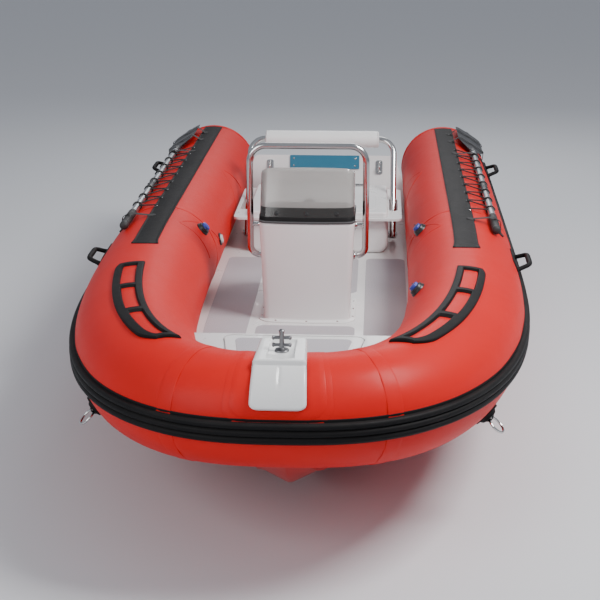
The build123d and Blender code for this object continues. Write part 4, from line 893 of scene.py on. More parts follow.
# ---------------------------------------------------------------- locker lid fittings
# The bow locker's lid turns on two stainless hinges at its front and shuts with a flush
# slam latch; a grey tread is glued on it.
LID_FRONT_Y, LID_BACK_Y, LID_TOP_Z = -1.420, -1.116, 0.3303
LID_FRONT_HALF, LID_SPLAY, LID_TREAD_MARGIN = 0.190, 0.045, 0.035
lid_y = clustered(LID_FRONT_Y + 0.045, LID_BACK_Y - 0.03, 20)
lid_share = (lid_y - LID_FRONT_Y) / (LID_BACK_Y - LID_FRONT_Y)
lid_half = LID_FRONT_HALF + LID_SPLAY * lid_share - LID_TREAD_MARGIN
mesh = flat_pad("bow_lid_tread", lid_y, -lid_half, lid_half, LID_TOP_Z, 0.0016, 0.025)
new_piece("bow_lid_tread", mesh, "bow_locker_lid", shade_grey_tread)
latch = [
    (-0.004, 0.022), (0.0014, 0.022), (0.0022, 0.0205), (0.0022, 0.0150), (0.0008, 0.0135),
    (0.0008, 0.0003)
]
mesh = turned_mesh("bow_lid_latch", latch, (0, LID_BACK_Y - 0.052, LID_TOP_Z + 0.0016), UP, 40)
new_piece("bow_lid_latch", mesh, "bow_locker_lid", stainless)
hinge_parts, barrels = [], []
for x_side in (-0.11, 0.11):
    knuckle = [(-0.024, 0.0002), (-0.024, 0.0042), (-0.0085, 0.0042), (-0.008, 0.0036), (-0.0075, 0.0042),
               (0.0075, 0.0042), (0.008, 0.0036), (0.0085, 0.0042), (0.024, 0.0042), (0.024, 0.0002)]
    barrels.append(turned_mesh("knuckle", knuckle, (x_side, LID_FRONT_Y, LID_TOP_Z), EAST, 20))
    leaf_y = clustered(LID_FRONT_Y + 0.002, LID_FRONT_Y + 0.030, 4, 0.006)
    leaf = flat_pad(
        "leaf", leaf_y, x_side - 0.024 + 0 * leaf_y, x_side + 0.024 + 0 * leaf_y, LID_TOP_Z, 0.0018,
        0.005
    )
    hinge_parts.append(leaf)
    for x_screw in (-0.014, 0.014):
        hinge_parts.append(
            screw_head((x_side + x_screw, LID_FRONT_Y + 0.018, LID_TOP_Z + 0.0018), UP, 0.003)
        )
joined_piece("bow_lid_hinge_leaves", hinge_parts, "bow_locker_lid", stainless)
joined_piece("bow_lid_hinge_barrels", barrels, "boat", stainless)

# ---------------------------------------------------------------- console
# Hollow white moulding screwed to the deck through a foot flange. Its front bulges forward,
# and its sides widen towards the dash.
CONSOLE_FRONT, CONSOLE_BACK, CONSOLE_TOP = -0.354, -0.074, 0.520
CONSOLE_BASE_HALF, CONSOLE_TOP_HALF, CONSOLE_BULGE, CONSOLE_CORNER = 0.166, 0.183, 0.014, 0.024
DASH_THICK = 0.008
FOOT_FLANGE_TOP = 0.1245


def rounded_loop(half, front, back, corner, bulge=0.0, runs=9):
    """Outline seen from above: a rounded rectangle whose front run is pushed forward by
    bulge * (1 - (x / half)^2). Corners are quarter circles; runs have even points."""
    turn = np.radians(np.linspace(0, 90, 9))
    pieces = []
    centres = ((half - corner, back - corner), (corner - half, back - corner),
               (corner - half, front + corner), (half - corner, front + corner))
    for k, (x, y) in enumerate(centres):
        angle = turn + k * math.pi / 2
        pieces.append(np.stack([x + corner * np.cos(angle), y + corner * np.sin(angle)], -1))
        x_next, y_next = centres[(k + 1) % 4]
        angle = (k + 1) * math.pi / 2
        start, end = pieces[-1][-1], (x_next + corner * math.cos(angle), y_next + corner * math.sin(angle))
        share = np.linspace(0, 1, runs + 2)[1:-1, None]
        pieces.append(start + (np.array(end) - start) * share)
    loop = np.concatenate(pieces)
    push = bulge * np.clip(1 - (loop[:, 0] / half) ** 2, 0, None)
    loop[:, 1] -= np.where(loop[:, 1] < (front + back) / 2, push, 0)
    return loop


def moulding(name, rows, half, front, back, corner, bulge=0.0):
    """Upright moulding from stacked outlines: rows of (height, how far outside the nominal
    outline), closed flat at both ends. half may change with the height."""
    rings = []
    for z, out in rows:
        reach = half(z) if callable(half) else half
        loop = rounded_loop(reach + out, front - out, back + out, max(corner + out, 0.002), bulge)
        rings.append(np.column_stack([loop, np.full(len(loop), z)]))
    return loft_mesh(name, rings)


def console_half(z):
    """Half width of the console at height z."""
    return (
        CONSOLE_BASE_HALF
        + (z - DECK_Z) / (CONSOLE_TOP - DASH_THICK - DECK_Z)
        * (CONSOLE_TOP_HALF - CONSOLE_BASE_HALF)
    )


rows = [
    (0.1203, 0.022), (0.1228, 0.022), (0.1240, 0.0208), (0.1244, 0.018), (0.1246, 0.006),
    (0.1262, 0.0025), (0.1300, 0.0003), (0.134, 0.0), (0.25, 0.0), (0.38, 0.0), (0.500, 0.0),
    (0.5060, -0.0006), (0.5095, -0.0026), (0.5115, -0.006), (0.5117, -0.05), (0.5117, -0.11)
]
mesh = moulding(
    "console_moulding", rows, console_half, CONSOLE_FRONT, CONSOLE_BACK, CONSOLE_CORNER,
    CONSOLE_BULGE
)
new_piece("console_moulding", mesh, "boat", white_gelcoat, ["console"])
heads = []
for x in (-0.12, 0.0, 0.12):
    heads.append(screw_head((x, CONSOLE_BACK + 0.012, FOOT_FLANGE_TOP), UP, 0.0042))
    front_y = CONSOLE_FRONT - CONSOLE_BULGE * (1 - (x / CONSOLE_BASE_HALF) ** 2) - 0.012
    heads.append(screw_head((x, front_y, FOOT_FLANGE_TOP), UP, 0.0042))
for y in (-0.31, -0.215, -0.12):
    for x_side in (-1, 1):
        heads.append(screw_head((x_side * 0.178, y, FOOT_FLANGE_TOP), UP, 0.0042))
joined_piece("console_foot_screws", heads, "boat", stainless)

# ---------------------------------------------------------------- dash
# Dark grained plastic plate on the console's top, with a rolled edge. It carries two dials, a
# row of rocker switches and a small compass.
dash_plastic = patterned("dash_grey_plastic", (0.052, 0.052, 0.055), (0.035, 0.035, 0.038), 0.5,
                         (900.0, 160.0, 0.7, 0.0004), cloud=0.3, cloud_scale=7.0, dust=0.12)
black_plastic = patterned("black_plastic", (0.012, 0.012, 0.013), (0.022, 0.022, 0.024), 0.36,
                          (800.0, 90.0, 0.6, 0.0002), cloud=0.4, cloud_scale=9.0, dust=0.05)
pale_plastic = patterned("pale_plastic", (0.62, 0.62, 0.60), (0.5, 0.5, 0.49), 0.4,
                         (800.0, 90.0, 0.5, 0.0002), cloud=0.4, dust=0.2)
rows = [
    (0.5120, -0.02), (0.5120, 0.0008), (0.5150, 0.0022), (0.5178, 0.0012), (0.5196, -0.0015),
    (0.5200, -0.005), (0.5194, -0.009), (0.5190, -0.013), (0.5190, -0.06), (0.5190, -0.12)
]
mesh = moulding(
    "dash_plate", rows, CONSOLE_TOP_HALF, CONSOLE_FRONT, CONSOLE_BACK, CONSOLE_CORNER, CONSOLE_BULGE
)
new_piece("dash_plate", mesh, "boat", dash_plastic, ["console_dash"])


def tapered_bar(name, start, end, width, tip_width, thick):
    """Flat bar from start to end, lying on its face: rings of a flattened eight-sided profile
    whose width runs from width to tip_width."""
    start, end = np.asarray(start, float), np.asarray(end, float)
    along = (end - start) / np.linalg.norm(end - start)
    side = np.cross(UP, along)
    share = np.linspace(0, 1, 5)[:, None, None]
    wide = (width + (tip_width - width) * share) / 2
    turn = np.radians(np.arange(22.5, 360, 45))[None, :, None]
    rings = start + (end - start) * share + wide * np.cos(turn) * side + thick / 2 * np.sin(turn) * UP
    return loft_mesh(name, rings)


DIAL_Y, DASH_FACE_Z = -0.128, 0.519
for number, (x, needle_turn) in enumerate(((-0.095, 215), (0.095, 300)), 1):
    centre = np.array([x, DIAL_Y, DASH_FACE_Z])
    bezel = [
        (-0.002, 0.031), (0.0035, 0.031), (0.0060, 0.0295), (0.0065, 0.0275), (0.0055, 0.0262),
        (0.0020, 0.0258), (0.0020, 0.0002)
    ]
    new_piece(
        f"dial_bezel_{number}", turned_mesh("bezel", bezel, centre, UP, 48), "boat",
        black_plastic
    )
    marks = []
    for k in range(11):
        turn = math.radians(225 - 27 * k)
        way = np.array([math.cos(turn), math.sin(turn), 0.0])
        inner_reach = 0.0185 if k % 5 == 0 else 0.0205
        marks.append(
            tapered_bar(
                "mark", centre + inner_reach * way + 0.0022 * UP,
                centre + 0.0235 * way + 0.0022 * UP, 0.0016, 0.0012, 0.0006
            )
        )
    turn = math.radians(needle_turn)
    way = np.array([math.cos(turn), math.sin(turn), 0.0])
    marks.append(
        tapered_bar(
            "needle", centre - 0.005 * way + 0.0032 * UP, centre + 0.019 * way + 0.0032 * UP,
            0.0022, 0.0006, 0.0006
        )
    )
    marks.append(
        turned_mesh(
            "hub", [(0.002, 0.003), (0.0040, 0.003), (0.0046, 0.0018), (0.0046, 0.0002)], centre,
            UP, 20
        )
    )
    joined_piece(f"dial_marks_{number}", marks, "boat", pale_plastic)

y = clustered(-0.232, -0.196, 6, 0.006)
mesh = flat_pad("switch_panel", y, -0.062 + 0 * y, 0.062 + 0 * y, DASH_FACE_Z, 0.0022, 0.006)
new_piece("switch_panel", mesh, "boat", black_plastic)
rockers = []
for x in (-0.042, -0.014, 0.014, 0.042):
    rows = [(0.5205, 0.0), (0.5235, 0.0), (0.5245, -0.0008), (0.5248, -0.0022)]
    rings = []
    for z, out in rows:
        loop = rounded_loop(0.0075 + out, -0.226 - out, -0.202 + out, 0.002 + max(out, -0.0015), runs=5)
        loop[:, 0] += x
        height = z - (0.0024 * np.cos((loop[:, 1] + 0.214) / 0.012 * math.pi / 2 * 0.9) if z > 0.523 else 0)
        rings.append(np.column_stack([loop, np.broadcast_to(height, len(loop))]))
    rockers.append(loft_mesh("rocker", rings))
joined_piece("rocker_switches", rockers, "boat", dash_plastic)
rows = [
    (0.5185, 0.0), (0.5300, -0.001), (0.5560, -0.008), (0.5650, -0.0125), (0.5700, -0.018),
    (0.5712, -0.026), (0.5712, -0.034)
]
mesh = moulding("instrument_cowl", rows, 0.168, -0.328, -0.236, 0.026, 0.010)
new_piece("instrument_cowl", mesh, "boat", dash_plastic)
compass = [(-0.002, 0.036), (0.006, 0.036), (0.009, 0.0345), (0.010, 0.031), (0.0105, 0.028)]
compass += [(0.0105 + 0.024 * math.sin(t), 0.027 * math.cos(t)) for t in np.radians(np.arange(6, 91, 7))]
mesh = turned_mesh("compass", compass, (0, DIAL_Y, DASH_FACE_Z), UP, 48)
new_piece("compass", mesh, "boat", black_plastic)

# ---------------------------------------------------------------- windscreen
# One sheet of smoked acrylic, 5 mm thick, bent round the front of the dash and leaning aft.
# It stands in a black rubber channel and is held by three dark screws.
SCREEN_FRONT, SCREEN_RETURN_Y, SCREEN_HEIGHT, SCREEN_LEAN = -0.350, -0.200, 0.190, 0.085
SCREEN_HALF, SCREEN_CORNER, SCREEN_TOP_CORNER, SCREEN_THICK, SCREEN_BULGE = 0.181, 0.030, 0.038, 0.005, 0.012


def screen_outline(height, outset=0.0):
    """The bent sheet's plan at a height above the dash, from the port edge round to the
    starboard one, moved outwards by outset."""
    front = SCREEN_FRONT + SCREEN_LEAN * height / SCREEN_HEIGHT
    turn = np.radians(np.linspace(0, 90, 9))
    side_y = np.linspace(SCREEN_RETURN_Y, front + SCREEN_CORNER, 9)[:-1]
    arc_x = SCREEN_HALF - SCREEN_CORNER + (SCREEN_CORNER + outset) * np.cos(turn)
    arc_y = front + SCREEN_CORNER - (SCREEN_CORNER + outset) * np.sin(turn)
    run_x = np.linspace(SCREEN_HALF - SCREEN_CORNER, 0, 12)[1:]
    x = np.concatenate([np.full(8, SCREEN_HALF + outset), arc_x, run_x])
    y = np.concatenate([side_y, arc_y, np.full(11, front - outset)])
    y = y - SCREEN_BULGE * np.clip(1 - (x / SCREEN_HALF) ** 2, 0, None) * (y < front + SCREEN_CORNER)
    return np.column_stack([np.concatenate([x, -x[-2::-1]]), np.concatenate([y, y[-2::-1]])])


def screen_top(x):
    """Height of the sheet's top edge above the dash: slightly domed, with rounded corners."""
    past = np.clip(np.abs(x) - (CONSOLE_TOP_HALF - SCREEN_TOP_CORNER), 0, SCREEN_TOP_CORNER)
    return (
        SCREEN_HEIGHT - SCREEN_TOP_CORNER + np.sqrt(SCREEN_TOP_CORNER**2 - past**2)
        - 0.006 * (x / SCREEN_HALF) ** 2
    )


rings = []
for share, thin in (
    (0, 0.0), *((k / 12, 0.0) for k in range(1, 12)), (0.99, 0.0), (0.997, 0.0006), (1.0, 0.0016)
):
    outer_edge, inner_edge = (
        screen_outline(share * SCREEN_HEIGHT, -thin),
        screen_outline(share * SCREEN_HEIGHT, -SCREEN_THICK + thin)
    )
    edge_z = CONSOLE_TOP + 0.0003 + share * screen_top(outer_edge[:, 0])
    rings.append(
        np.concatenate(
            [np.column_stack([outer_edge, edge_z]), np.column_stack([inner_edge, edge_z])[::-1]]
        )
    )
smoked = finish_named("smoked_screen", (0.56, 0.545, 0.52), 0.14)
smoked_shader = smoked.node_tree.nodes["Principled BSDF"]
smoked_shader.inputs["Transmission Weight"].default_value = 0.62
smoked_shader.inputs["IOR"].default_value = 1.49
smoked_mottle = add_group(smoked, tone_group, Base=(0.56, 0.545, 0.52), Deep=(0.50, 0.49, 0.47),
                          Dust=(0.6, 0.59, 0.57), Cloud=0.5, **{"Cloud Scale": 5.0, "Dust Amount": 0.3})
# A darker band, painted shade standing in for the black dash and cowl seen through the smoked sheet, colours
# the sheet's foot up to 50 mm above the dash.
screen_place = smoked.node_tree.nodes.new("ShaderNodeTexCoord")
screen_split = smoked.node_tree.nodes.new("ShaderNodeSeparateXYZ")
smoked.node_tree.links.new(screen_place.outputs["Object"], screen_split.inputs["Vector"])
above_dash_shade = maths(smoked.node_tree, "SUBTRACT", screen_split.outputs["Z"], CONSOLE_TOP + 0.048)
dash_shade_share = maths(smoked.node_tree, "MULTIPLY_ADD", above_dash_shade, -400.0, 0.5, clamp=True)
dash_shaded_colour = blend_colours(smoked.node_tree, dash_shade_share, smoked_mottle.outputs["Color"], (0.075, 0.072, 0.068))
smoked.node_tree.links.new(dash_shaded_colour, smoked_shader.inputs["Base Color"])
new_piece(
    "windscreen_sheet", loft_mesh("windscreen_sheet", rings), "boat", smoked,
    ["windscreen"]
)
rings = []
for height, out, back_in in (
    (0.0, 0.0035, 0.0035), (0.013, 0.0035, 0.0035), (0.0148, 0.0026, 0.0026),
    (0.0155, 0.0006, 0.0006)
):
    outer_edge, inner_edge = screen_outline(height, out), screen_outline(height, -SCREEN_THICK - back_in)
    outer_edge, inner_edge = (
        np.column_stack([e, np.full(len(e), CONSOLE_TOP - 0.0015 + height)])
        for e in (outer_edge, inner_edge)
    )
    rings.append(np.concatenate([outer_edge, inner_edge[::-1]]))
new_piece("screen_channel", loft_mesh("screen_channel", rings), "boat", black_rubber)
heads = []
screen_out = np.array([0.0, -SCREEN_HEIGHT, SCREEN_LEAN]) / math.hypot(SCREEN_HEIGHT, SCREEN_LEAN)
for x in (-0.115, 0.0, 0.115):
    height = 0.026
    face_y = (
        SCREEN_FRONT + SCREEN_LEAN * height / SCREEN_HEIGHT
        - SCREEN_BULGE * (1 - (x / SCREEN_HALF) ** 2)
    )
    spot = (x, face_y, CONSOLE_TOP + height)
    heads.append(
        turned_mesh(
            "washer", [(-0.001, 0.0085), (0.0008, 0.0085), (0.0014, 0.0078), (0.0014, 0.0003)],
            spot, screen_out
        )
    )
    heads.append(screw_head(np.array(spot) + 0.0014 * screen_out, screen_out, 0.0055))
joined_piece("screen_screws", heads, "boat", black_plastic)

# ---------------------------------------------------------------- grab rail
# Polished stainless hoop, bent from one 25 mm tube. Its feet and two short stays end on round
# plates screwed to the console's sides.
RAIL_Y, RAIL_RADIUS, RAIL_HALF, RAIL_TOP, RAIL_FOOT_Z, RAIL_STAY_Z = (
    -0.250, 0.0125, 0.224, 0.789, 0.356, 0.480
)


def pipe_mesh(name, path, radius, reference, around=20, squash=1.0):
    """Tube along a path: a circle at every point, square to the path, with one axis kept
    towards the reference direction. squash flattens that axis; radius may vary along."""
    path = np.asarray(path, float)
    tangent = np.gradient(path, axis=0)
    tangent /= np.linalg.norm(tangent, axis=1, keepdims=True)
    first = reference - (tangent * reference).sum(-1, keepdims=True) * tangent
    first /= np.linalg.norm(first, axis=1, keepdims=True)
    second = np.cross(tangent, first)
    turn = np.linspace(0, 2 * math.pi, around, endpoint=False)[None, :, None]
    reach = np.broadcast_to(radius, len(path))[:, None, None]
    rings = path[:, None] + reach * (squash * np.cos(turn) * first[:, None] + np.sin(turn) * second[:, None])
    return loft_mesh(name, rings)


FORWARD = np.array([0.0, -1.0, 0.0])
foot_half = console_half(RAIL_FOOT_Z) + 0.001
corners = [
    (-foot_half, RAIL_Y, RAIL_FOOT_Z), (-RAIL_HALF, RAIL_Y, RAIL_FOOT_Z),
    (-RAIL_HALF, RAIL_Y, RAIL_TOP), (RAIL_HALF, RAIL_Y, RAIL_TOP), (RAIL_HALF, RAIL_Y, RAIL_FOOT_Z),
    (foot_half, RAIL_Y, RAIL_FOOT_Z)
]
rail_path = resampled(rounded_path(corners, [0.036, 0.062, 0.062, 0.036], 14), 0.02)
mesh = pipe_mesh("grab_rail_hoop", rail_path, RAIL_RADIUS, FORWARD, 28)
new_piece("grab_rail_hoop", mesh, "boat", stainless, ["grab_rail"])
rail_parts = []
for x_side in (-1, 1):
    out = x_side * EAST
    stay_half = console_half(RAIL_STAY_Z) + 0.001
    stay = [
        (0.0, 0.022), (0.0022, 0.022), (0.0030, 0.021), (0.0030, 0.0125), (0.0040, 0.0105),
        (0.0065, 0.0092), (0.012, 0.009), (RAIL_HALF - stay_half - 0.016, 0.009),
        (RAIL_HALF - stay_half - 0.012, 0.0105), (RAIL_HALF - stay_half - 0.008, 0.011)
    ]
    rail_parts.append(turned_mesh("stay", stay, (x_side * stay_half, RAIL_Y, RAIL_STAY_Z), out, 32))
    plate = [
        (0.0, 0.024), (0.0022, 0.024), (0.0030, 0.023), (0.0030, 0.0165), (0.0042, 0.0140),
        (0.0065, 0.0128), (0.008, 0.0122)
    ]
    rail_parts.append(turned_mesh("plate", plate, (x_side * foot_half, RAIL_Y, RAIL_FOOT_Z), out, 40))
    for z, half, reach in ((RAIL_FOOT_Z, foot_half, 0.0195), (RAIL_STAY_Z, stay_half, 0.0170)):
        for k in range(3):
            turn = math.radians(90 + 120 * k)
            spot = (x_side * (half + 0.003), RAIL_Y + reach * math.cos(turn), z + reach * math.sin(turn))
            rail_parts.append(screw_head(spot, out, 0.003))
joined_piece("grab_rail_plates", rail_parts, "boat", stainless)

# ---------------------------------------------------------------- steering column and wheel
# The helm sticks out of the console's back through a black bezel. The wheel is a moulded black
# rim on three brushed aluminium spokes, and turns about the tilted column.
HELM_TILT = math.radians(24)
helm_axis = np.array([0.0, math.cos(HELM_TILT), math.sin(HELM_TILT)])
helm_start = np.array([0.0, CONSOLE_BACK - 0.020, 0.345])
helm_down = -np.cross(helm_axis, EAST)
RIM_OFFSET, RIM_RADIUS, RIM_TUBE = 0.104, 0.128, 0.011
AFT = -FORWARD

bezel = [
    (0.0003, 0.038), (0.0045, 0.038), (0.0072, 0.0362), (0.0080, 0.034), (0.0080, 0.027),
    (0.0080, 0.0003)
]
bezel_centre = (0, CONSOLE_BACK, helm_start[2] + 0.020 * math.tan(HELM_TILT))
column_parts = [turned_mesh("bezel", bezel, bezel_centre, AFT, 48)]
cone = [
    (0.024, 0.0225), (0.040, 0.022), (0.041, 0.0205), (0.043, 0.0205), (0.044, 0.0220),
    (0.047, 0.0220), (0.048, 0.0205), (0.050, 0.0205), (0.051, 0.0218), (0.0685, 0.0205),
    (0.070, 0.0190), (0.070, 0.0003)
]
column_parts.append(turned_mesh("cone", cone, helm_start, helm_axis, 40))
joined_piece("helm_column", column_parts, "boat", black_plastic, ["steering_column"])
heads = []
for k in range(4):
    turn = math.radians(45 + 90 * k)
    spot = np.array(bezel_centre) + np.array([0.0305 * math.cos(turn), 0.0080, 0.0305 * math.sin(turn)])
    heads.append(screw_head(spot, AFT, 0.0032))
joined_piece("helm_screws", heads, "boat", stainless)


def hoop_mesh(name, centre, axis, start, radius, tube, around=180, tube_around=20, lobes=0, lobe_depth=0.0):
    """Torus round an axis: a small circle carried round a large one. lobes swell the small
    circle by lobe_depth * (1 + cos) on its inner side, as finger grips do."""
    axis, start = np.asarray(axis, float), np.asarray(start, float)
    across = np.cross(axis, start)
    turn = np.linspace(0, 2 * math.pi, around, endpoint=False)[:, None, None]
    small = np.linspace(0, 2 * math.pi, tube_around, endpoint=False)[None, :, None]
    out = np.cos(turn) * start + np.sin(turn) * across
    swell = lobe_depth * (1 + np.cos(lobes * turn)) / 2 * np.clip(-np.cos(small), 0, 1)
    reach = tube * (1 + swell)
    rings = np.asarray(centre) + out * (radius + reach * np.cos(small)) + reach * np.sin(small) * axis
    return loft_mesh(name, rings, closed=True, capped=False)


wheel_grip = patterned("wheel_grip", (0.016, 0.016, 0.017), (0.028, 0.027, 0.027), 0.55,
                       (900.0, 220.0, 0.7, 0.0005), cloud=0.5, cloud_scale=12.0, dust=0.06)
aluminium = patterned("brushed_aluminium", (0.56, 0.57, 0.58), (0.44, 0.45, 0.46), 0.30,
                      (350.0, 60.0, 0.6, 0.0001), metallic=1.0, cloud=0.5, cloud_scale=10.0, dust=0.1)
rim_centre = helm_start + RIM_OFFSET * helm_axis
mesh = hoop_mesh("wheel_rim", rim_centre, helm_axis, EAST, RIM_RADIUS, RIM_TUBE, 240, 20, 36, 0.14)
new_piece("wheel_rim", mesh, "steering_wheel", wheel_grip, ["steering_wheel"])
spokes = []
for turn in np.radians((90, 210, 330)):
    out = math.cos(turn) * EAST - math.sin(turn) * helm_down
    side = np.cross(helm_axis, out)
    reach = np.linspace(0.018, RIM_RADIUS - 0.004, 22)
    share = ramp(reach, 0.030, 0.075)
    offset = (RIM_OFFSET - 0.022) + 0.022 * share
    wide = 0.0125 - 0.0035 * np.sin(math.pi * (reach - reach[0]) / (reach[-1] - reach[0])) - 0.0010 * share
    deep = 0.0032 - 0.0005 * share
    angle = np.linspace(0, 2 * math.pi, 24, endpoint=False)
    flat = (
        np.sign(np.cos(angle)) * np.abs(np.cos(angle)) ** 0.45,
        np.sign(np.sin(angle)) * np.abs(np.sin(angle)) ** 0.45
    )
    middle = helm_start + reach[:, None] * out + offset[:, None] * helm_axis
    rings = middle[:, None] + wide[:, None, None] * flat[0][None, :, None] * side
    rings = rings + deep[:, None, None] * flat[1][None, :, None] * helm_axis
    spokes.append(loft_mesh("spoke", rings))
joined_piece("wheel_spokes", spokes, "steering_wheel", aluminium)
hub = [
    (0.0705, 0.0003), (0.0705, 0.031), (0.0720, 0.0335), (0.0745, 0.034), (0.0885, 0.034),
    (0.0915, 0.0325), (0.0930, 0.030), (0.0930, 0.0255), (0.0922, 0.0245), (0.0930, 0.0235),
    (0.0955, 0.0190), (0.0965, 0.010), (0.0967, 0.0003)
]
mesh = turned_mesh("wheel_hub", hub, helm_start, helm_axis, 56)
new_piece("wheel_hub", mesh, "steering_wheel", black_plastic)

# ---------------------------------------------------------------- seat box and lid
# White moulded locker that doubles as the helm seat. Its lid turns on a long hinge behind it
# and shuts on a lever latch; a vent sits in its front.
for node in ("seat_box", "seat_lid"):
    finish_node(node, white_gelcoat)
SEAT_LID_TOP, SEAT_LID_FRONT, SEAT_LID_BACK, SEAT_BOX_FRONT = 0.3145, 0.578, 1.112, 0.588
y = clustered(SEAT_LID_FRONT + 0.05, SEAT_LID_BACK - 0.09, 16)
mesh = flat_pad("seat_lid_tread", y, -0.262 + 0 * y, 0.262 + 0 * y, SEAT_LID_TOP, 0.0014, 0.03)
new_piece("seat_lid_tread", mesh, "seat_lid", white_gelcoat)
hinge_parts = []
for x_side in (-0.19, 0.19):
    knuckle = [(-0.030, 0.0002), (-0.030, 0.0045), (-0.0105, 0.0045), (-0.010, 0.0038), (-0.0095, 0.0045),
               (0.0095, 0.0045), (0.010, 0.0038), (0.0105, 0.0045), (0.030, 0.0045), (0.030, 0.0002)]
    hinge_parts.append(
        turned_mesh(
            "knuckle", knuckle, (x_side, SEAT_LID_BACK - 0.001, SEAT_LID_TOP + 0.003), EAST, 20
        )
    )
    leaf_y = clustered(SEAT_LID_BACK - 0.036, SEAT_LID_BACK - 0.003, 4, 0.006)
    leaf = flat_pad(
        "leaf", leaf_y, x_side - 0.03 + 0 * leaf_y, x_side + 0.03 + 0 * leaf_y, SEAT_LID_TOP,
        0.0018, 0.005
    )
    hinge_parts.append(leaf)
    for x_screw in (-0.018, 0.0, 0.018):
        hinge_parts.append(
            screw_head((x_side + x_screw, SEAT_LID_BACK - 0.022, SEAT_LID_TOP + 0.0018), UP, 0.003)
        )
joined_piece("seat_lid_hinges", hinge_parts, "seat_lid", stainless)
rows = [(0.0, 0.0), (0.0040, 0.0), (0.0052, -0.0012), (0.0055, -0.003)]
rings = []
for lift, out in rows:
    loop = rounded_loop(0.022 + out, 0.290 - out, 0.309 + out, 0.006 + max(out, -0.004), runs=5)
    rings.append(
        np.column_stack(
            [loop[:, 0], np.full(len(loop), SEAT_LID_FRONT - lift), loop[:, 1] + 0.0015]
        )
    )
latch_parts = [loft_mesh("latch", rings)]
latch_parts.append(turned_mesh("pull", [(0.0, 0.0062), (0.003, 0.0060), (0.0045, 0.0045), (0.005, 0.0003)],
                               (0, SEAT_LID_FRONT - 0.0055, 0.301), FORWARD, 24))
joined_piece("seat_lid_latch", latch_parts, "seat_lid", stainless)
vent_parts = []
for k, z in enumerate((0.178, 0.190, 0.202, 0.214, 0.226)):
    path = np.stack(
        [np.linspace(-0.045, 0.045, 24), np.full(24, SEAT_BOX_FRONT - 0.0035), np.full(24, z)], -1
    )
    reach = 0.0036 * np.sqrt(np.clip(1 - np.abs(np.linspace(-1, 1, 24)) ** 6, 0.004, 1))
    vent_parts.append(pipe_mesh("slat", path, reach, UP, 12))
rows = [(-0.001, 0.0), (0.0025, 0.0), (0.0034, -0.001), (0.0036, -0.003)]
rings = []
for lift, out in rows:
    loop = rounded_loop(0.060 + out, 0.162 - out, 0.242 + out, 0.012 + out, runs=9)
    rings.append(np.column_stack([loop[:, 0], np.full(len(loop), SEAT_BOX_FRONT - lift), loop[:, 1]]))
vent_parts.append(loft_mesh("frame", rings))
joined_piece("seat_vent", vent_parts, "boat", pale_plastic)

# ---------------------------------------------------------------- backrest
# Polished stainless hoop that swings on pins through two bosses beside the seat box, and
# carries a firm foam roll covered in white vinyl with piped ends.
BACKREST_HALF, PIVOT_Y, PIVOT_Z = 0.343, 0.820, 0.150
LEAN_ANGLE = math.radians(33)
lean = np.array([0.0, math.sin(LEAN_ANGLE), math.cos(LEAN_ANGLE)])
pivot = np.array([0.0, PIVOT_Y, PIVOT_Z])
BACKREST_REACH, BACKREST_BEND, BACKREST_TUBE = 0.473, 0.072, 0.014
low, high = pivot - 0.018 * lean, pivot + BACKREST_REACH * lean
corners = [
    low - BACKREST_HALF * EAST, high - BACKREST_HALF * EAST, high + BACKREST_HALF * EAST,
    low + BACKREST_HALF * EAST
]
frame_path = resampled(rounded_path(corners, [BACKREST_BEND, BACKREST_BEND], 16), 0.02)
mesh = pipe_mesh("backrest_hoop", frame_path, BACKREST_TUBE, np.cross(EAST, lean), 28)
new_piece("backrest_hoop", mesh, "backrest", stainless, ["backrest_frame"])
finish_node("backrest_pivots", stainless)
ROLL_HALF, ROLL_RADIUS = 0.2725, 0.040
end_marks = np.array([0.0, 0.0008, 0.0022, 0.0045, 0.008, 0.012, 0.018, 0.028, 0.045])
inner_marks = np.linspace(0.06, 2 * ROLL_HALF - 0.06, 60)
across = np.concatenate([end_marks, inner_marks, 2 * ROLL_HALF - end_marks[::-1]]) - ROLL_HALF
from_end = ROLL_HALF - np.abs(across)
shoulder_share = (0.60, 0.74, 0.84, 0.905, 0.945, 0.965, 0.98, 0.985)
shoulder = ROLL_RADIUS * np.interp(from_end, end_marks[:8], shoulder_share)
turn = np.linspace(0, 2 * math.pi, 64, endpoint=False)
pull = np.exp(-from_end / 0.03)[:, None] * 0.012 * np.cos(turn * 14 + 3 * across[:, None])
slack = 0.006 * np.sin(across[:, None] * 31 + 2 * np.cos(turn)[None]) * np.cos(2 * turn)[None]
reach = shoulder[:, None] * (1 + pull + slack)
roll_centre = np.array([0.0, 1.0776, 0.5467])
rings = (roll_centre + across[:, None, None] * EAST + (reach * np.cos(turn))[..., None] * lean
         + (reach * np.sin(turn))[..., None] * np.cross(EAST, lean))
white_vinyl = patterned("white_vinyl", (0.80, 0.80, 0.79), (0.70, 0.70, 0.70), 0.42,
                        (240.0, 30.0, 0.5, 0.0004), cloud=0.4, cloud_scale=5.0, dust=0.4)
roll = new_piece(
    "backrest_cushion", loft_mesh("backrest_cushion", rings), "backrest",
    white_vinyl, ["backrest_roll"]
)
piping = []
for x_side in (-1, 1):
    spot = roll_centre + x_side * (ROLL_HALF - 0.0075) * EAST
    piping.append(hoop_mesh("piping", spot, EAST, lean, ROLL_RADIUS * 0.955, 0.0021, 96, 12))
joined_piece("cushion_piping", piping, "backrest", white_vinyl)

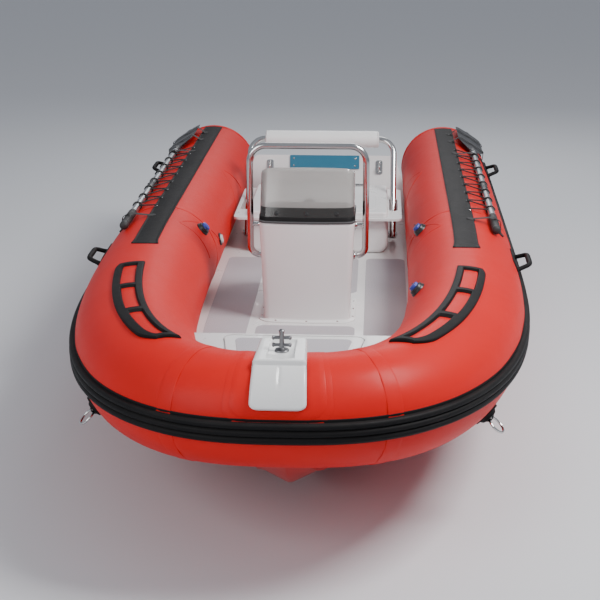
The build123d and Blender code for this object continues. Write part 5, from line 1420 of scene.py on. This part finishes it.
# ---------------------------------------------------------------- wear strips
# Black rubber strips bonded along the top of the side tubes, with raised edges and a flared
# front. Stainless eyelets in their outboard edge take the paddle lacing.
STRIP_FRONT_Y, STRIP_BACK_Y = -0.520, 1.780
strip_s = np.concatenate([run_at_y(STRIP_FRONT_Y) + 0.13 * np.linspace(0, 1, 22)[:-1] ** 1.4,
                          np.linspace(run_at_y(STRIP_FRONT_Y) + 0.13, run_at_y(STRIP_BACK_Y), 120)])
strip_across = np.array([0.0, 0.0, 0.008, 0.02, 0.045, 0.06, 0.075, 0.12, 0.25, 0.4, 0.5])
strip_lift = np.array(
    [-0.0012, 0.0030, 0.0042, 0.0044, 0.0044, 0.0036, 0.0026, 0.0024, 0.0024, 0.0024, 0.0024]
)
strip_across = np.concatenate([strip_across, 1 - strip_across[-2::-1]])
strip_lift = np.concatenate([strip_lift, strip_lift[-2::-1]])
flare = np.clip(1 - (strip_s - strip_s[0]) / 0.12, 0, 1) ** 2
low_angle, high_angle = 78.6 - 1.8 * flare, 102.4 + 1.8 * flare
strip_angle = low_angle[:, None] + (high_angle - low_angle)[:, None] * strip_across[None]
front_weight = np.clip(1 - (strip_s - strip_s[0]) / 0.06, 0, 1)[:, None]
strip_run = strip_s[:, None] + 0.022 * front_weight * (2 * strip_across[None] - 1) ** 2
strip_end = np.clip((strip_s - strip_s[0]) / 0.006, 0.1, 1)[:, None]
for side, word in SIDES:
    top = skin(side * strip_run, strip_angle, np.where(strip_lift > 0, strip_lift * strip_end, strip_lift))
    mesh = loft_mesh(f"{word}_wear_strip_rubber", top)
    new_piece(
        f"{word}_wear_strip_rubber", mesh, "boat", black_rubber,
        [f"{word}_wear_strip"]
    )


def on_skin(s, angle, lift=0.0):
    """A place on the collar with its outward direction and the direction along the collar."""
    s, angle = float(s), float(angle)
    spot, far = (
        skin(np.array([s]), np.array([angle]), np.array([reach]))[0] for reach in (lift, lift + 0.1)
    )
    ahead_spot, behind_spot = (
        skin(np.array([s + step]), np.array([angle]), np.array([lift]))[0] for step in (0.01, -0.01)
    )
    out = (far - spot) / np.linalg.norm(far - spot)
    along = ahead_spot - behind_spot
    along -= (along @ out) * out
    return spot, out, along / np.linalg.norm(along)


EYELET_Y, EYELET_ANGLE = np.arange(0.06, 1.24, 0.146), 80.8
eyelet = [
    (-0.001, 0.0075), (0.0008, 0.0075), (0.0018, 0.0066), (0.0018, 0.0050), (0.0010, 0.0040),
    (-0.001, 0.0038)
]
for side, word in SIDES:
    rings = []
    for y in EYELET_Y:
        spot, out, _ = on_skin(side * run_at_y(y), EYELET_ANGLE, 0.0044)
        rings.append(turned_mesh("eyelet", eyelet, spot, out, 24))
    joined_piece(f"{word}_eyelets", rings, "boat", stainless)

# ---------------------------------------------------------------- arc handles
# Moulded black rubber handles bonded over the shoulders. Each has three windows, where the
# red cloth shows, between bridges that a hand closes on.
ARC_FRONT_Y, ARC_BACK_Y, ARC_THICK, ARC_BRIDGE = -1.585, -0.785, 0.009, 0.026
arc_from, arc_to = float(run_at_y(ARC_FRONT_Y)), float(run_at_y(ARC_BACK_Y))
arc_length = arc_to - arc_from
window_length = (arc_length - 4 * ARC_BRIDGE) / 3
arc_ease = 0.004 * (1 - np.cos(np.linspace(0, math.pi / 2, 6)))
arc_t = (
    np.unique(
        np.concatenate(
            [arc_ease, np.linspace(0.004, arc_length - 0.004, 180), arc_length - arc_ease]
        )
    )
    / arc_length
)
across_ease = 0.03 * (1 - np.cos(np.linspace(0, math.pi / 2, 6)))
arc_c = np.unique(np.concatenate([across_ease, np.linspace(0.03, 0.97, 62), 1 - across_ease]))
t, c = arc_t[:, None], arc_c[None]
outer_angle = (
    71.2 - 1.2 * np.sin(math.pi * t) + 9.0 * np.clip(1 - t / 0.10, 0, 1) ** 2
    + 3.5 * np.clip((t - 0.93) / 0.07, 0, 1) ** 2
)
inner_angle = 99.3 + 0.7 * np.cos(math.pi * t)
arc_angle = outer_angle + (inner_angle - outer_angle) * c
arc_s = arc_from + 0.012 + (arc_length - 0.024) * t - 0.040 * c**2 * (1 - t) ** 4 + 0.012 * c**2 * t**4
from_side = np.minimum(c, 1 - c) * (inner_angle - outer_angle) * 0.00375
from_tip = np.minimum(t, 1 - t) * arc_length
from_edge = np.minimum(from_side, from_tip)
body = np.sqrt(np.clip(1 - np.clip(1 - from_edge / 0.006, 0, 1) ** 2, 0.02, 1))
window = np.zeros_like(arc_angle)
for k in range(3):
    start = (ARC_BRIDGE + k * (window_length + ARC_BRIDGE)) / arc_length
    end = start + window_length / arc_length
    soft = 0.006 / arc_length
    along = ramp(t, start, start + soft) * (1 - ramp(t, end - soft, end))
    low_share, high_share = 0.30 - 0.03 * k, 0.78
    window = np.maximum(
        window,
        along * ramp(c, low_share, low_share + 0.05) * (1 - ramp(c, high_share - 0.05, high_share))
    )
arc_lift = (ARC_THICK * body + 0.0015) * (1 - window) - 0.0022 * window - 0.0012
for side, word in SIDES:
    top, bottom = (
        skin(side * arc_s, arc_angle, arc_lift),
        skin(side * arc_s, arc_angle, -0.004 + 0 * arc_lift)
    )
    mesh = loft_mesh(f"{word}_shoulder_handle", np.concatenate([top, bottom[:, ::-1]], 1))
    new_piece(f"{word}_shoulder_handle", mesh, "boat", black_rubber, [f"{word}_arc_handle"])

# ---------------------------------------------------------------- paddles
# Two-piece aluminium paddles with black plastic grips, joints and blades, lashed outboard of
# the strips by black cord through the eyelets and by webbing straps.
PADDLE_TURN = math.radians(58)
PADDLE_AWAY = RADIUS + 0.020
paddle_out = np.array([math.cos(PADDLE_TURN), 0.0, math.sin(PADDLE_TURN)])
paddle_side = np.array([-math.sin(PADDLE_TURN), 0.0, math.cos(PADDLE_TURN)])
side_axis = np.array([SPREAD, 0.0, AXIS_Z])
MIRROR = {1: np.array([1.0, 1.0, 1.0]), -1: np.array([-1.0, 1.0, 1.0])}


def by_paddle(y, across=0.0, lift=0.0):
    """Point beside the port paddle: y along it, across towards the centreline, lift away from
    the collar, both from the shaft's axis."""
    return side_axis + (PADDLE_AWAY + lift) * paddle_out + across * paddle_side + y * AFT


shaft = [(0.020, 0.0003), (0.020, 0.0140), (0.435, 0.0140), (1.289, 0.0140), (1.289, 0.0003)]
joint = [
    (0.425, 0.0142), (0.427, 0.0160), (0.436, 0.0168), (0.500, 0.0168), (0.504, 0.0158),
    (0.512, 0.0158), (0.516, 0.0168), (0.540, 0.0168), (0.549, 0.0160), (0.551, 0.0142)
]
socket = [
    (1.235, 0.0142), (1.236, 0.0160), (1.245, 0.0170), (1.285, 0.0172), (1.300, 0.0150),
    (1.315, 0.0100), (1.325, 0.0050), (1.330, 0.0003)
]
grip = [(-0.200, 0.0003), (-0.1995, 0.0080), (-0.1975, 0.0130), (-0.1930, 0.0162), (-0.187, 0.0170)]
for k in range(9):
    y = -0.170 + k * 0.018
    grip += [(y, 0.0170), (y + 0.0035, 0.0158), (y + 0.0075, 0.0158), (y + 0.011, 0.0170)]
grip += [(0.010, 0.0168), (0.019, 0.0155), (0.022, 0.0142)]
BLADE_START, TIP_START, TIP_ROUND = 1.262, 1.70, 0.040
blade_y = np.concatenate([
    BLADE_START + 0.05 * (1 - np.cos(np.linspace(0, math.pi / 2, 8))),
    np.linspace(1.312, TIP_START, 40)[1:],
    TIP_START + TIP_ROUND * np.sin(np.linspace(0, math.pi / 2, 14))[1:],
])
blade_half = 0.013 + 0.062 * ramp(blade_y, BLADE_START, 1.43) ** 0.8
past_tip = np.clip(blade_y - TIP_START, 0, 0.0399)
end_draw = TIP_ROUND - np.sqrt(np.clip(TIP_ROUND**2 - past_tip**2, 0, None))
blade_half = blade_half - end_draw
blade_turn = np.linspace(0, 2 * math.pi, 56, endpoint=False)
across = blade_half[:, None] * np.cos(blade_turn)[None]
deep = (
    0.0022 + 0.0026 * np.exp(-((across / 0.011) ** 2))
    + 0.0042 * (1 - ramp(blade_y, BLADE_START, 1.34))[:, None]
)
deep = (
    np.minimum(deep, 0.0049) * np.sign(np.sin(blade_turn))[None]
    * np.abs(np.sin(blade_turn))[None] ** 0.35
)
for side, word in SIDES:
    out, axis = paddle_out * MIRROR[side], AFT
    base = by_paddle(0.0) * MIRROR[side]
    mesh = turned_mesh(f"{word}_paddle_tube", shaft, base, axis, 28)
    new_piece(f"{word}_paddle_tube", mesh, "boat", aluminium, [f"{word}_paddle_shaft"])
    fittings = [turned_mesh("joint", joint, base, axis, 28), turned_mesh("socket", socket, base, axis, 28)]
    button = [(0.010, 0.0065), (0.0178, 0.0065), (0.0190, 0.0052), (0.0192, 0.0003)]
    fittings.append(turned_mesh("button", button, base + 0.47 * AFT, out, 20))
    joined_piece(f"{word}_paddle_fittings", fittings, "boat", black_plastic)
    mesh = turned_mesh(f"{word}_paddle_handle", grip, base, axis, 28)
    new_piece(f"{word}_paddle_handle", mesh, "boat", wheel_grip, [f"{word}_paddle_grip"])
    rings = (
        by_paddle(0.0) + blade_y[:, None, None] * AFT + across[..., None] * paddle_side
        + deep[..., None] * paddle_out
    )
    mesh = loft_mesh(f"{word}_paddle_spoon", rings * MIRROR[side])
    new_piece(f"{word}_paddle_spoon", mesh, "boat", black_plastic, [f"{word}_paddle_blade"])

# ---------------------------------------------------------------- lacing and straps
# Black braided cord laced through the eyelets and round the shaft, pulled tight, and flat
# webbing straps over the grip and the blade.
braid = patterned("black_braid", (0.013, 0.013, 0.014), (0.034, 0.033, 0.033), 0.7,
                  (700.0, 300.0, 0.8, 0.0006), cloud=0.6, cloud_scale=30.0, dust=0.08)
CORD_RADIUS, CORD_AWAY = 0.0030, 0.0172
for side, word in SIDES:
    route = []
    for k, y in enumerate(EYELET_Y):
        spot, out, _ = on_skin(run_at_y(y), EYELET_ANGLE, 0.0086)
        hitch = [spot - 0.006 * AFT, spot + 0.003 * out, spot + 0.006 * AFT]
        if k > 0:
            route += [route[-1] + 0.12 * (hitch[0] - route[-1]), route[-1] + 0.88 * (hitch[0] - route[-1])]
        route += hitch
        if k < len(EYELET_Y) - 1:
            middle = (y + EYELET_Y[k + 1]) / 2
            turns = np.radians(140 - 50 * np.arange(8))
            loop = [by_paddle(middle + step, CORD_AWAY * math.cos(angle), CORD_AWAY * math.sin(angle))
                    for step, angle in zip(np.linspace(-0.014, 0.014, 8), turns)]
            route += (
                [hitch[-1] + 0.12 * (loop[0] - hitch[-1]), hitch[-1] + 0.88 * (loop[0] - hitch[-1])]
                + loop
            )
    path = eased(route, len(route) * 9) * MIRROR[side]
    mesh = pipe_mesh(f"{word}_paddle_lacing", path, CORD_RADIUS, AFT + 0.2 * UP, 10)
    new_piece(f"{word}_paddle_lacing", mesh, "boat", braid)
    straps = []
    for y, half, lift, inboard, outboard in ((-0.085, 0.017, 0.0185, 82, 46), (1.150, 0.015, 0.0160, 82, 46),
                                             (1.430, 0.072, 0.0066, 84, 33), (1.610, 0.078, 0.0066, 84, 33)):
        start, finish_point = (on_skin(run_at_y(y), angle, 0.003)[0] for angle in (inboard, outboard))
        corners = [start, by_paddle(y, half, lift), by_paddle(y, -half, lift), finish_point]
        path = resampled(rounded_path(corners, [0.010, 0.010], 8), 0.008) * MIRROR[side]
        straps.append(pipe_mesh("strap", path, 0.0011, AFT, 16, squash=11.0))
        for spot_angle in (inboard, outboard):
            spot, out, _ = on_skin(side * run_at_y(y), spot_angle, 0.0)
            pad = [(-0.002, 0.017), (0.0036, 0.017), (0.0050, 0.0155), (0.0056, 0.008), (0.0056, 0.0003)]
            straps.append(turned_mesh("anchor", pad, spot, out, 28))
    joined_piece(f"{word}_paddle_straps", straps, "boat", braid)

# ---------------------------------------------------------------- lifting handles
# Moulded black rubber carrying handles on the outboard faces, on oval base pads.
LIFT_HANDLE_ANGLE = 20
for side, word in SIDES:
    bars = []
    pads = []
    for y in (-0.220, 1.380):
        s = side * float(run_at_y(y))
        spot, out, along = on_skin(s, LIFT_HANDLE_ANGLE, 0.0006)
        across = np.cross(out, along)
        corners = [spot - 0.087 * along - 0.002 * out, spot - 0.070 * along + 0.052 * out,
                   spot + 0.070 * along + 0.052 * out, spot + 0.087 * along - 0.002 * out]
        path = resampled(rounded_path(corners, [0.022, 0.022], 12), 0.006)
        middle = np.abs((path - spot) @ along)
        reach = (
            0.0096 + 0.0014 * (1 - ramp(middle, 0.035, 0.060))
            + 0.0022 * ramp(-((path - spot) @ out), -0.014, 0.0)
        )
        reach = reach - 0.0006 * (np.cos(middle * 700) > 0.2) * (middle < 0.045)
        bars.append(pipe_mesh("bar", path, np.minimum(reach, 0.0125), across, 20, squash=0.9))
        pads.append(skin_patch("pad", s, LIFT_HANDLE_ANGLE, 0.114, 0.040, 0.0042, 0.034))
    joined_piece(f"{word}_handle_bars", bars, "boat", black_rubber,
              [f"{word}_side_handles"])
    joined_piece(f"{word}_handle_pads", pads, "boat", black_rubber)

# ---------------------------------------------------------------- valves and tow rings
# Black inflation valves with tethered blue screw caps on the inboard faces, and stainless
# tow rings on black rubber patches under the shoulders.
blue_plastic = patterned("blue_cap_plastic", (0.022, 0.040, 0.36), (0.015, 0.028, 0.24), 0.34,
                         (500.0, 60.0, 0.6, 0.0002), cloud=0.4, cloud_scale=12.0, dust=0.15)
valve_profile = [
    (-0.003, 0.0295), (0.0035, 0.0295), (0.0055, 0.0285), (0.0062, 0.0262), (0.0120, 0.0260),
    (0.0150, 0.0250), (0.0160, 0.0230), (0.0160, 0.0195), (0.0150, 0.0190), (0.0150, 0.0003)
]
cap_profile = [
    (0.0164, 0.0003), (0.0164, 0.0168), (0.0172, 0.0178), (0.0245, 0.0178), (0.0262, 0.0170),
    (0.0276, 0.0140), (0.0283, 0.0080), (0.0284, 0.0003)
]
# A tether's places beside its valve: along the collar, away from it, and across.
TETHER_ROUTE = ((0.0255, 0.010, 0.0), (0.033, 0.013, 0.003), (0.041, 0.020, 0.006),
                (0.038, 0.028, 0.006), (0.028, 0.030, 0.003), (0.0165, 0.024, 0.0))
valve_bodies, caps, tethers = [], [], []
for side, y in ((-1, -0.012), (1, 0.016), (1, -0.842)):
    spot, out, along = on_skin(side * float(run_at_y(y)), 140, 0.0)
    across = np.cross(out, along)
    valve_bodies.append(turned_mesh("valve", valve_profile, spot, out, 48))
    caps.append(turned_mesh("cap", cap_profile, spot, out, 96, 20, 0.022))
    route = [
        spot + reach * along + lift * out + sway * across for reach, lift, sway in TETHER_ROUTE
    ]
    tethers.append(pipe_mesh("tether", eased(route, 40), 0.0013, across, 10))
joined_piece("valve_bodies", valve_bodies, "boat", black_plastic, ["valves"])
joined_piece("blue_valve_caps", caps, "boat", blue_plastic, ["valve_caps"])
joined_piece("cap_tethers", tethers, "boat", black_plastic)
# A pale cap in a black ring closes the drain valve low on the starboard tube.
spot, out, _ = on_skin(-float(run_at_y(0.205)), 170, 0.0)
collar = [
    (-0.003, 0.027), (0.0030, 0.027), (0.0048, 0.0255), (0.0050, 0.0200), (0.0040, 0.0190),
    (0.0040, 0.0003)
]
mesh = turned_mesh("pale_cap_ring", collar, spot, out, 48)
new_piece("pale_cap_ring", mesh, "boat", black_plastic)
pale_cap = [
    (0.0030, 0.0003), (0.0030, 0.0185), (0.0090, 0.0180), (0.0112, 0.0165), (0.0116, 0.0120),
    (0.0096, 0.0100), (0.0096, 0.0003)
]
mesh = turned_mesh("pale_cap", pale_cap, spot, out, 96, 16, 0.02)
new_piece("pale_cap", mesh, "boat", pale_plastic)

RING_Y, RING_ANGLE = -1.290, -42
KEEPER_ARCH = ((-0.018, 0.010), (-0.0085, 0.0195), (0.0, 0.0225), (0.0085, 0.0195), (0.018, 0.010))
for side, word in SIDES:
    spot, out, along = on_skin(side * float(run_at_y(RING_Y)), RING_ANGLE, 0.0)
    across = np.cross(out, along)
    patch = [
        (-0.004, 0.044), (0.0016, 0.044), (0.0024, 0.042), (0.0030, 0.033), (0.0075, 0.030),
        (0.0130, 0.026), (0.0150, 0.020), (0.0150, 0.0003)
    ]
    mesh = turned_mesh(f"{word}_ring_patch", patch, spot, out, 56)
    new_piece(f"{word}_ring_patch", mesh, "boat", black_rubber)
    ring = hoop_mesh(f"{word}_ring", spot + 0.045 * out, across, out, 0.030, 0.004, 72, 16)
    new_piece(f"{word}_ring", ring, "boat", stainless, [f"{word}_tow_ring"])
    arch = [spot + reach * across + lift * out for reach, lift in KEEPER_ARCH]
    mesh = pipe_mesh(f"{word}_ring_keeper", eased(arch, 30), 0.0022, along, 14, squash=5.0)
    new_piece(f"{word}_ring_keeper", mesh, "boat", black_rubber)

# ---------------------------------------------------------------- transom drains
# Two black plastic drain flanges low in the transom, each with its plug.
drains = []
for x in (-0.215, 0.215):
    for face, way in ((0.0, -board_out), (TRANSOM_THICK, board_out)):
        spot = board_top + x * EAST + 0.262 * board_down + face * board_out
        flange = [
            (-0.001, 0.024), (0.0022, 0.024), (0.0032, 0.0228), (0.0032, 0.0175), (0.0070, 0.0165),
            (0.0078, 0.0150), (0.0078, 0.0110), (0.0050, 0.0105), (0.0050, 0.0003)
        ]
        drains.append(turned_mesh("drain", flange, spot, way, 40))
joined_piece("transom_drains", drains, "boat", black_plastic)
